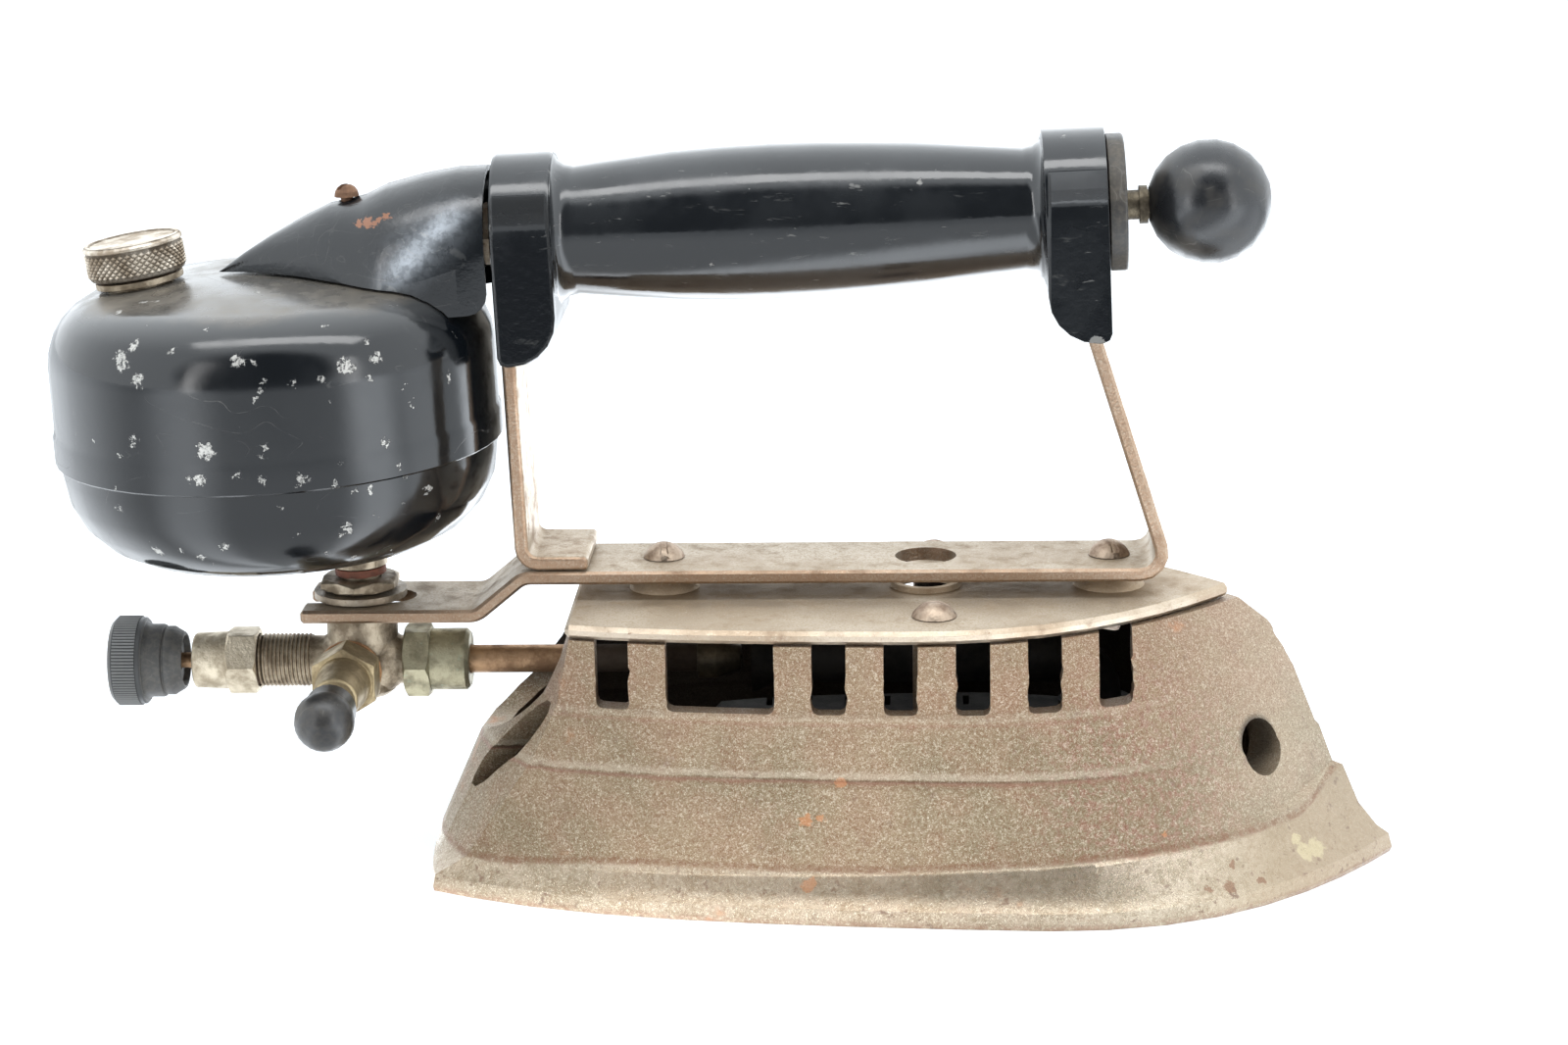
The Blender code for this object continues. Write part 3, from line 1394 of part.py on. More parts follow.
def make_pump(tank):
    axis = (0, 0, handle_axis_height)
    forward = (0, quarter_turn, 0)
    rear, front = block_rear_x, block_rear_x + handle_length
    seat = rear + gap + leg_thickness + gap
    floor = seat + barrel_wall_end
    end = front - gap
    spigot_end = rear - spigot_length
    barrel = [
        (air_bore / 2, spigot_end), (spigot_radius, spigot_end), (spigot_radius, seat),
        (barrel_radius, seat), (barrel_radius, end), (pump_bore_radius, end),
        (pump_bore_radius, floor), (air_bore / 2, floor),
    ]
    place("pump_barrel", turned("pump_barrel", barrel, 32, closed=True), "old_brass", tank, axis, forward)
    nut_high = rear
    nut = plain_nut("barrel_nut", barrel_nut_flats, nut_high - barrel_nut_height, nut_high,
                    spigot_radius * 2 + gap * 2)
    place("barrel_nut", nut, "rusty_steel", tank, axis, forward)

    # round plate with a flat at its bottom, seated on the front block
    seat = front + gap
    top = seat + end_plate_thickness
    outline = [
        (end_plate_radius, seat), (end_plate_radius, top - edge_break),
        (end_plate_radius - edge_break, top),
    ]
    plate = place("end_plate", solid_turning("end_plate", outline, 36), "black_phenolic", tank, axis, forward)
    flat = box(
        (seat - overrun, -end_plate_radius, -end_plate_radius - overrun),
        (seat + end_plate_thickness + overrun, end_plate_radius, -end_plate_flat),
    )
    cut(plate, cutter("end_plate_flat", to_mesh("end_plate_flat", flat), tank, axis))
    far = seat + end_plate_thickness + overrun
    hole = rod("end_plate_hole", rod_diameter + gap * 2, seat - overrun, far, 20)
    cut(plate, cutter("end_plate_hole", hole, tank, axis, forward))

    slide = frame_at("pump_axis", (0, 0, handle_axis_height), forward, tank)
    ball_start = ball_centre_x - ball_radius
    collar_low = ball_start - collar_thickness * 0.9
    washer_low = piston_x + piston_nut_height + gap
    cup_low = washer_low + piston_washer_thickness + gap
    shoulder = cup_low + piston_cup_wall + gap
    rod_tail = piston_x
    rod_profile = [
        (rod_end / 2, rod_tail), (rod_end / 2, shoulder), (rod_diameter / 2, shoulder),
        (rod_diameter / 2, ball_centre_x),
    ]
    place("pump_rod", solid_turning("pump_rod", rod_profile), "rusty_steel", slide)
    hole = rod_end + gap * 2
    nut = plain_nut("piston_nut", piston_nut_flats, piston_x, piston_x + piston_nut_height, hole)
    place("piston_nut", nut, "old_brass", slide)
    washer_high = washer_low + piston_washer_thickness
    washer = ring_turning("piston_washer", piston_washer, hole, washer_low, washer_high)
    place("piston_washer", washer, "old_brass", slide)
    cup_radius = piston_cup_outer / 2
    wall_radius = cup_radius - piston_cup_wall
    cup = [
        (hole / 2, cup_low), (cup_radius - edge_break, cup_low), (cup_radius, cup_low + edge_break),
        (cup_radius, cup_low + piston_cup_length), (wall_radius, cup_low + piston_cup_length),
        (wall_radius, cup_low + piston_cup_wall), (hole / 2, cup_low + piston_cup_wall),
    ]
    place("piston_cup", turned("piston_cup", cup, 28, closed=True), "leather", slide)

    hole = rod_diameter + gap * 2
    collar = ring_turning("knob_collar", collar_outer, hole, collar_low, collar_low + collar_thickness)
    place("knob_collar", collar, "old_brass", slide)
    # the ball has a flat for the collar and a blind hole for the rod
    flat_height = collar_low + collar_thickness + gap - ball_centre_x
    start = asin(flat_height / ball_radius)
    ball = arc((0, ball_centre_x), ball_radius, start, quarter_turn, 10)
    profile = [(0, ball_centre_x + gap), (hole / 2, ball_centre_x + gap)]
    profile += [(hole / 2, ball_centre_x + flat_height)] + ball[:-1] + [(0, ball_centre_x + ball_radius)]
    place("pump_knob", turned("pump_knob", profile, 30), "black_lacquer", slide)


# hood and air way

# rows of share along the hood from its tip, half width share and height share above the dome
hood_shares = (
    (0.00, 0.03, 0.02),
    (0.10, 0.15, 0.21),
    (0.20, 0.31, 0.38),
    (0.34, 0.56, 0.58),
    (0.43, 0.74, 0.69),
    (0.50, 0.86, 0.72),
    (0.56, 0.97, 0.76),
    (0.64, 1.05, 0.86),
    (0.78, 1.08, 0.95),
    (0.90, 1.03, 1.00),
    (1.00, 0.95, 1.00),
)


def hood_ring(x, half, top, low, steps=10):
    # an arch: straight sides from low, then half an ellipse
    spring = top - min(half, (top - low) * 0.8)
    ring = [(x, -half, low)]
    for i in range(steps + 1):
        angle = pi * i / steps
        ring.append((x, -half * cos(angle), spring + (top - spring) * sin(angle)))
    ring.append((x, half, low))
    return ring


def hood_mesh(name, inset):
    low = shoulder_height * 0.9
    crown = dome_crown()
    length = hood_front_x - hood_tip_x
    rings = []
    for share, width, rise in hood_shares:
        half = max(hood_half_width * width - inset, hood_sheet * 0.2)
        top = crown + hood_rise * rise - inset * 1.2
        rings.append(hood_ring(hood_tip_x + length * share + inset * 2 * (1 - share), half, top, low))
    if inset:
        last = rings[-1]
        rings.append([(x + overrun, y, z) for x, y, z in last])
    return loft(name, rings)


def make_hood(tank):
    hood = place("hood", hood_mesh("hood", 0), "black_enamel", tank, smooth=radians(45))
    cut(hood, cutter("hood_inside", hood_mesh("hood_inside", hood_sheet), tank))
    # the lower edge follows the dome, and its front end stops above the shoulder
    blank = [(radius, height + gap) for radius, height in tank_top_profile(-gap)]
    blank += [(tank_radius + overrun, 0)]
    profile = blank + [(0, 0)]
    dome = turned("dome_blank", profile, 48)
    cut(hood, cutter("dome_blank", dome, tank, (tank_axis_x, 0, 0)))
    front, low, corner = hood_front_x, hood_corner_level, hood_corner_round
    region = [(hood_tip_x, 0), (front + overrun, 0), (front + overrun, low + corner)]
    region += arc((front - corner, low + corner), corner, 0, -quarter_turn, 4) + [(hood_tip_x, low)]
    trim = extruded("hood_trim", region, -hood_half_width * 2, hood_half_width * 2, "Y")
    cut(hood, cutter("hood_trim", trim, tank))
    top = hood_top(hood_screw_x)
    drill = rod("hood_drill", hood_screw_hole, top - overrun * 2, top + overrun, 12)
    cut(hood, cutter("hood_drill", drill, tank, (hood_screw_x, 0, 0)))


def hood_top(x):
    share = (x - hood_tip_x) / (hood_front_x - hood_tip_x)
    for low, high in zip(hood_shares, hood_shares[1:]):
        if low[0] <= share <= high[0]:
            part = (share - low[0]) / (high[0] - low[0])
            return dome_crown() + hood_rise * between(low[2], high[2], part)
    return dome_crown() + hood_rise


def make_air_way(tank):
    brass = "old_brass"
    # the elbow stands on the dome under the hood and carries the hood's screw
    offset = hood_screw_x - tank_axis_x
    foot = dome_height(offset) + gap * 2
    top = hood_top(hood_screw_x) - hood_sheet - elbow_head_room
    column = [
        (elbow_column / 2 * 1.1, foot), (elbow_column / 2 * 1.1, foot + elbow_foot),
        (elbow_column / 2, foot + elbow_foot), (elbow_column / 2, top),
    ]
    at = (hood_screw_x, 0, 0)
    elbow = place("air_elbow", solid_turning("air_elbow", column, 20), brass, tank, at)
    arm_at = (hood_screw_x, 0, handle_axis_height)
    forward = (0, quarter_turn, 0)
    arm = rod("elbow_arm", elbow_arm, 0, elbow_arm_length, 20)
    join(elbow, cutter("elbow_arm", arm, tank, arm_at, forward))
    bore = rod("elbow_bore", air_bore, foot - overrun, handle_axis_height, 12)
    cut(elbow, cutter("elbow_bore", bore, tank, at))
    bore = rod("arm_bore", air_bore, 0, elbow_arm_length + overrun, 12)
    cut(elbow, cutter("arm_bore", bore, tank, arm_at, forward))
    thread_depth = hood_screw_head * 0.8
    drill = rod("elbow_drill", hood_screw_shank + gap * 2, top - thread_depth - gap, top + overrun, 12)
    cut(elbow, cutter("elbow_drill", drill, tank, at))

    seat = hood_top(hood_screw_x) + gap * 2
    dome_screw("hood_screw", hood_screw_head, hood_screw_head_height, hood_screw_shank,
               seat - top + thread_depth - gap, "rusty_steel", tank, (hood_screw_x, 0, seat), radians(40))

    # check valve between the elbow and the pump barrel, with a ball that lifts off its seat
    low = hood_screw_x + elbow_arm_length + gap
    high = block_rear_x - spigot_length + barrel_nut_height - gap
    spigot_face = block_rear_x - spigot_length
    axis = (0, 0, handle_axis_height)
    seat_x = spigot_face - gap * 2
    inner_end = seat_x - check_wall
    cage_end = low + check_wall
    profile = [
        (air_bore / 2, low), (check_outer / 2, low), (check_outer / 2, high),
        (spigot_radius + gap, high), (spigot_radius + gap, seat_x), (air_bore / 2, seat_x),
        (air_bore / 2, inner_end), (check_bore / 2, inner_end), (check_bore / 2, cage_end),
        (air_bore / 2, cage_end),
    ]
    place("check_valve", turned("check_valve", profile, 20, closed=True), brass, tank, axis, forward)
    ball_radius_here = check_ball / 2
    ball = arc((0, 0), ball_radius_here, -quarter_turn, quarter_turn, 8)
    ball = [(0, -ball_radius_here)] + ball[1:-1] + [(0, ball_radius_here)]
    at = (inner_end - gap - ball_radius_here, 0, handle_axis_height)
    place("check_ball", turned("check_ball", ball, 16), "worn_nickel_sheet", tank, at, forward)


def build():
    clear_scene()
    make_finishes()
    tank = frame_at("tank_frame", (outlet_x, 0, tank_seat_height), (0, -tank_tilt, 0))
    make_base_casting()
    make_cover_plate()
    make_cover_screws()
    make_strap()
    make_rear_leg()
    make_strap_screws()
    socket_floor = make_burner()
    make_mixing_tube(socket_floor)
    make_generator()
    make_valve()
    make_main_valve()
    make_side_valve()
    make_coupling_nut()
    make_outlet_stack(tank)
    filler = make_tank(tank)
    make_filler(filler)
    make_handle(tank)
    make_pump(tank)
    make_hood(tank)
    make_air_way(tank)


build()
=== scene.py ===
# A self-heating fuel iron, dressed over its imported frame.
# Metres, +X towards the nose, +Z up, the near side is -Y.
from math import asin, cos, pi, radians, sin
import bpy
import bmesh
from mathutils import Matrix, Vector, noise


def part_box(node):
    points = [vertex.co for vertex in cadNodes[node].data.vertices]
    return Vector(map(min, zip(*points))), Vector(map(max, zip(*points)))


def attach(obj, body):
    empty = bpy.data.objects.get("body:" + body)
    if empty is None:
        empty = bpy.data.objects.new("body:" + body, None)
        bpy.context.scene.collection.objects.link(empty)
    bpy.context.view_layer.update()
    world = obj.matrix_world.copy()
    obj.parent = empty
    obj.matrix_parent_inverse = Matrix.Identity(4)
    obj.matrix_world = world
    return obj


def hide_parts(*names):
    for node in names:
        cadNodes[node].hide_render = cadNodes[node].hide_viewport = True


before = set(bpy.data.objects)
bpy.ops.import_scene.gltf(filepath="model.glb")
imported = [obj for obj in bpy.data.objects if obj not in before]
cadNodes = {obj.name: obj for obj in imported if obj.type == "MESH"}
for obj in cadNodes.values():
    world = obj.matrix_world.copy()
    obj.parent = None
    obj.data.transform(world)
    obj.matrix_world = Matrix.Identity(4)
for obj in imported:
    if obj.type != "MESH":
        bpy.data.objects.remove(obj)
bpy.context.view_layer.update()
collection = bpy.context.scene.collection
bpy.context.scene.view_settings.view_transform = "Standard"
quarterTurn = pi / 2
weldGap = 0.000002
flatAngle = 0.4
roundSteps = 72
print("frame loaded:", len(cadNodes), "nodes")


# shader arithmetic
class Wire:
    def __init__(self, graph, socket):
        self.graph = graph
        self.socket = socket

    def other(self, output):
        return Wire(self.graph, self.socket.node.outputs[output])

    def maths(self, operation, first, second):
        return self.graph.node("ShaderNodeMath", {"operation": operation}, {0: first, 1: second})

    def __add__(self, value):
        return self.maths("ADD", self, value)

    def __radd__(self, value):
        return self.maths("ADD", value, self)

    def __sub__(self, value):
        return self.maths("SUBTRACT", self, value)

    def __rsub__(self, value):
        return self.maths("SUBTRACT", value, self)

    def __mul__(self, value):
        return self.maths("MULTIPLY", self, value)

    def __rmul__(self, value):
        return self.maths("MULTIPLY", value, self)

    def __pow__(self, value):
        return self.maths("POWER", self, value)

    def __abs__(self):
        return self.maths("ABSOLUTE", self, 0)


class Graph:
    def __init__(self, tree):
        self.tree = tree

    def node(self, kind, settings=None, inputs=None, output=0):
        made = self.tree.nodes.new(kind)
        for key, value in (settings or {}).items():
            setattr(made, key, value)
        for key, value in (inputs or {}).items():
            self.feed(made.inputs[key], value)
        return Wire(self, made.outputs[output])

    def feed(self, socket, value):
        if isinstance(value, Wire):
            self.tree.links.new(value.socket, socket)
        elif socket.type == "RGBA":
            socket.default_value = (*value, 1)
        else:
            socket.default_value = value

    def rise(self, value, low, high):
        return self.node(
            "ShaderNodeMapRange", {"interpolation_type": "SMOOTHSTEP"},
            {"Value": value, "From Min": low, "From Max": high},
        )

    def greater(self, first, second):
        return self.node("ShaderNodeMath", {"operation": "MAXIMUM"}, {0: first, 1: second})

    def lesser(self, first, second):
        return self.node("ShaderNodeMath", {"operation": "MINIMUM"}, {0: first, 1: second})

    def band(self, value, low, full, fading, end):
        # rises from low to full, and falls from fading to end
        return self.rise(value, low, full) * (1 - self.rise(value, fading, end))

    def vector(self, operation, first, second=(0, 0, 0), output=0):
        inputs = {0: first, 1: second}
        return self.node("ShaderNodeVectorMath", {"operation": operation}, inputs, output)


class Skin(Graph):
    # one material, with its patterns in object coordinates
    def __init__(self, name, slot):
        self.material = bpy.data.materials.new(name)
        self.material.use_nodes = True
        super().__init__(self.material.node_tree)
        self.slot = slot
        self.shader = self.tree.nodes["Principled BSDF"]
        self.place = self.node("ShaderNodeTexCoord", output="Object")
        self.facing = self.place.other("Normal")
        self.normal = None

    def parts(self, vector):
        x = self.node("ShaderNodeSeparateXYZ", {}, {0: vector})
        return x, x.other(1), x.other(2)

    def noise(self, scale, detail=3, roughness=0.55, distortion=0, at=None, output="Fac"):
        values = {"Vector": at or self.place, "Scale": scale, "Detail": detail,
                  "Roughness": roughness, "Distortion": distortion}
        return self.node("ShaderNodeTexNoise", {}, values, output)

    def cells(self, scale, at):
        # the distance from the nearest of many scattered points
        return self.node("ShaderNodeTexVoronoi", {}, {"Vector": at, "Scale": scale}, "Distance")

    def stretched(self, scale, turn=(0, 0, 0)):
        values = {"Vector": self.place, "Scale": scale, "Rotation": turn}
        return self.node("ShaderNodeMapping", {}, values)

    def ragged(self, scale, amount):
        # the coordinates shaken by noise, for broken outlines
        shake = self.vector("SUBTRACT", self.noise(scale, 4, 0.7, output="Color"), (0.5, 0.5, 0.5))
        shake = self.vector("MULTIPLY", shake, (amount, amount, amount))
        return self.vector("ADD", self.place, shake)

    def hairlines(self, scale, thickness, at=None):
        # thin wandering lines, such as scratches
        middle = abs(self.noise(scale, 1, 0.4, 0.6, at) - 0.5)
        return 1 - self.rise(middle, thickness * 0.3, thickness)

    def tint(self, share, first, second):
        values = {0: share, 6: first, 7: second}
        return self.node("ShaderNodeMix", {"data_type": "RGBA"}, values, 2)

    def bump(self, height, depth, strength=1.0):
        values = {"Height": height, "Distance": depth, "Strength": strength}
        if self.normal:
            values["Normal"] = self.normal
        self.normal = self.node("ShaderNodeBump", {}, values)

    def fromAxis(self, point, axis):
        # distance from an axis through a point
        arm = self.vector("SUBTRACT", self.place, point)
        return self.vector("LENGTH", self.vector("CROSS_PRODUCT", arm, axis), output="Value")

    def near(self, point, radius, soft, shaken=None):
        span = self.vector("DISTANCE", shaken or self.place, point, "Value")
        return 1 - self.rise(span, radius - soft, radius)

    def marked(self, marks, shaken):
        # marks at places given in millimetres, each with its radius: wear, stains, and painted
        # shade in the lighting hole
        nearest = 2.0  # in radii, well outside every mark
        for x, y, z, radius in marks:
            span = self.vector("DISTANCE", shaken, (x / 1000, y / 1000, z / 1000), "Value")
            nearest = self.lesser(span * (1000 / radius), nearest)
        return 1 - self.rise(nearest, 0.80, 1.05)

    def close(self, colour, roughness, metallic=0.0, coat=0.0, coatRoughness=0.1):
        self.feed(self.shader.inputs["Base Color"], colour)
        self.feed(self.shader.inputs["Roughness"], roughness)
        self.feed(self.shader.inputs["Metallic"], metallic)
        self.feed(self.shader.inputs["Coat Weight"], coat)
        self.shader.inputs["Coat Roughness"].default_value = coatRoughness
        if self.normal:
            self.feed(self.shader.inputs["Normal"], self.normal)
        return self


# camera and studio
studio = {
    "cameraPlace": (0.0007, -0.7616, 0.2724),
    "right": (0.99922, 0.03595, -0.01604),
    "up": (0.00645, 0.25250, 0.96758),
    "forward": (-0.03884, 0.96693, -0.25207),
    "lens": 85.5,
    "sensor": 36,
    "clip": (0.01, 100),
    "floorColour": (0.80, 0.81, 0.82),
    "floorRoughness": 0.9,
    "floorRadius": 5.0,
    "floorSegments": 96,
    "floorGlow": 0.58,
    "roomLight": 0.70,
    "wallLight": 2.30,
    "openingLight": 0.16,
    "seenLight": 1.10,
    "roomColour": (0.94, 0.99, 1.03),
    "opening": (0, -0.94, 0.34),
    "openingEdges": (0.70, 0.84),
    # bright wedges of the table round the tank, in degrees from -Y towards +X, and their shares
    "wedges": (
        ((-150, -118, -100, -60), 0.8), ((-62, -42, -36, -14), 1.2), ((38, 54, 62, 76), 2.0),
        ((66, 80, 92, 104), 0.9), ((112, 120, 150, 165), 2.0),
    ),
    "wedgeCentre": (-0.135, 0, 0),
    "wedgeLight": 1.4,
    "wedgeColour": (0.93, 0.99, 1.05),
    "lampTarget": (-0.04, 0, 0.07),
    "lamps": (
        # name, place, width, length, power
        ("topLamp", (-0.04, -0.20, 0.92), 1.00, 0.18, 3.6),
        ("leftLamp", (-0.52, -0.62, 0.34), 0.10, 0.62, 1.0),
        ("rightLamp", (0.56, -0.60, 0.34), 0.10, 0.62, 1.0),
    ),
}


def makeCamera(look):
    camera = bpy.data.objects.new("camera", bpy.data.cameras.new("camera"))
    collection.objects.link(camera)
    camera.data.lens = look["lens"]
    camera.data.sensor_width = look["sensor"]
    camera.data.clip_start, camera.data.clip_end = look["clip"]
    columns = (Vector(look["right"]), Vector(look["up"]), -Vector(look["forward"]))
    turn = Matrix([column.normalized() for column in columns]).transposed()
    camera.matrix_world = Matrix.Translation(look["cameraPlace"]) @ turn.to_4x4()
    bpy.context.scene.camera = camera


def makeLamps(look):
    for name, place, width, length, power in look["lamps"]:
        lamp = bpy.data.lights.new(name, "AREA")
        lamp.shape = "RECTANGLE"
        lamp.size = width
        lamp.size_y = length
        lamp.energy = power
        holder = bpy.data.objects.new(name, lamp)
        collection.objects.link(holder)
        holder.location = place
        aim = Vector(look["lampTarget"]) - Vector(place)
        holder.rotation_euler = aim.to_track_quat("-Z", "Y").to_euler()


def makeRoom(look):
    # pale walls all round for reflections, with a dark opening where the photographer stands
    world = bpy.data.worlds.new("room")
    bpy.context.scene.world = world
    world.use_nodes = True
    graph = Graph(world.node_tree)
    background = world.node_tree.nodes["Background"]
    seen = graph.node("ShaderNodeLightPath", output="Is Camera Ray")
    mirrored = graph.greater(seen.other("Is Glossy Ray"), seen.other("Is Transmission Ray"))
    direction = graph.node("ShaderNodeTexCoord", output="Generated")
    towards = graph.vector("DOT_PRODUCT", direction, look["opening"], "Value")
    opening = graph.rise(towards, *look["openingEdges"])
    walls = look["wallLight"] - opening * (look["wallLight"] - look["openingLight"])
    diffused = (1 - mirrored) * look["roomLight"]
    strength = graph.greater(seen * look["seenLight"], graph.greater(mirrored * walls, diffused))
    graph.feed(background.inputs["Strength"], strength)
    background.inputs["Color"].default_value = (*look["roomColour"], 1)


def makeFloor(look):
    disc = bmesh.new()
    bmesh.ops.create_circle(
        disc, cap_ends=True, segments=look["floorSegments"], radius=look["floorRadius"])
    mesh = bpy.data.meshes.new("floor")
    disc.to_mesh(mesh)
    disc.free()
    floor = bpy.data.objects.new("floor", mesh)
    collection.objects.link(floor)
    material = bpy.data.materials.new("paleFloor")
    material.use_nodes = True
    graph = Graph(material.node_tree)
    shader = material.node_tree.nodes["Principled BSDF"]
    shader.inputs["Base Color"].default_value = (*look["floorColour"], 1)
    shader.inputs["Roughness"].default_value = look["floorRoughness"]
    seen = graph.node("ShaderNodeLightPath", output="Is Camera Ray")
    shown = graph.greater(seen, seen.other("Is Glossy Ray"))
    spot = graph.node("ShaderNodeTexCoord", output="Object")
    arm = graph.vector("SUBTRACT", spot, look["wedgeCentre"])
    x = graph.node("ShaderNodeSeparateXYZ", {}, {0: arm})
    bearing = x.maths("ARCTAN2", x, x.other(1) * -1)
    wedge = 0
    for edges, share in look["wedges"]:
        wedge = graph.band(bearing, *map(radians, edges)) * share + wedge
    mirrored = seen.other("Is Glossy Ray")
    strength = shown * look["floorGlow"] + mirrored * wedge * look["wedgeLight"]
    values = {"Color": look["wedgeColour"], "Strength": strength}
    glow = graph.node("ShaderNodeEmission", {}, values)
    both = graph.node("ShaderNodeAddShader", {}, {0: Wire(graph, shader.outputs[0]), 1: glow})
    graph.feed(material.node_tree.nodes["Material Output"].inputs["Surface"], both)
    mesh.materials.append(material)


makeCamera(studio)
makeLamps(studio)
makeRoom(studio)
makeFloor(studio)
print("camera and studio ready")


# finishes
casting = {
    "tan": (0.240, 0.171, 0.101), "olive": (0.178, 0.135, 0.076), "pink": (0.232, 0.139, 0.084),
    "pale": (0.56, 0.49, 0.385), "rust": (0.175, 0.085, 0.048), "orange": (0.56, 0.20, 0.06),
    # soot, on the next line, also stands for painted shade inside the casting
    "yellow": (0.58, 0.51, 0.31), "rosy": (0.230, 0.112, 0.080), "soot": (0.016, 0.013, 0.011),
    # scales of the patterns, from broad to fine
    "broad": 26, "stains": 60, "patches": 120, "specks": 420, "shake": 500, "mottle": 620,
    "pebble": 1300, "grain": 3300,
    # the upper edge of the polished lip, and where it rises towards the nose
    "lipTop": 0.0080,
    "lipRises": ((-0.092, -0.060, 0.0022), (-0.020, 0.052, 0.0034), (0.077, 0.090, 0.0065)),
    "nose": (0.040, 0.085), "polished": (0.020, 0.045, 0.060, 0.085), "tannedLip": (0.050, 0.075),
    "reddish": (0.034, 0.044), "rosyPlace": ((0.046, -0.037, 0.030), 0.036, 0.024),
    # ledges round the casting, each with how clear it is, and their parts seen from that height:
    # crest (painted highlight), foot (painted shade) and step
    "ledges": ((0.0412, 0.5), (0.0292, 1.0)), "ledgeEnd": (0.030, 0.062),
    "crest": (-0.0001, 0.0004, 0.0009, 0.0022), "foot": (-0.0012, -0.0005, -0.0005, 0.0001),
    "step": (-0.0007, 0.0003),
    # spots on the near side, in millimetres with their radius
    "rustSpots": (
        (-24.4, -41.2, 7.7, 1.6), (-17.6, -37.9, 28.7, 1.1), (-24.9, -38.9, 20.7, 1.5),
        (-21.7, -39.1, 21.4, 0.8), (48.9, -36.8, 17.1, 0.7),
    ),
    "brownSpots": (
        (62.1, -36.4, 5.2, 1.5), (69.0, -31.8, 5.2, 1.1), (63.0, -32.7, 9.0, 0.9),
        (57.5, -38.8, 5.5, 0.8),
    ),
    "yellowSpots": ((81.3, -17.2, 6.6, 2.6), (77.1, -19.7, 9.9, 1.5), (79.1, -20.2, 7.3, 2.2)),
    # the lighting hole, darkened inside with soot and painted shade, in millimetres with its radius
    "hole": ((67.0, -12.9, 28.9, 6.9),),
}


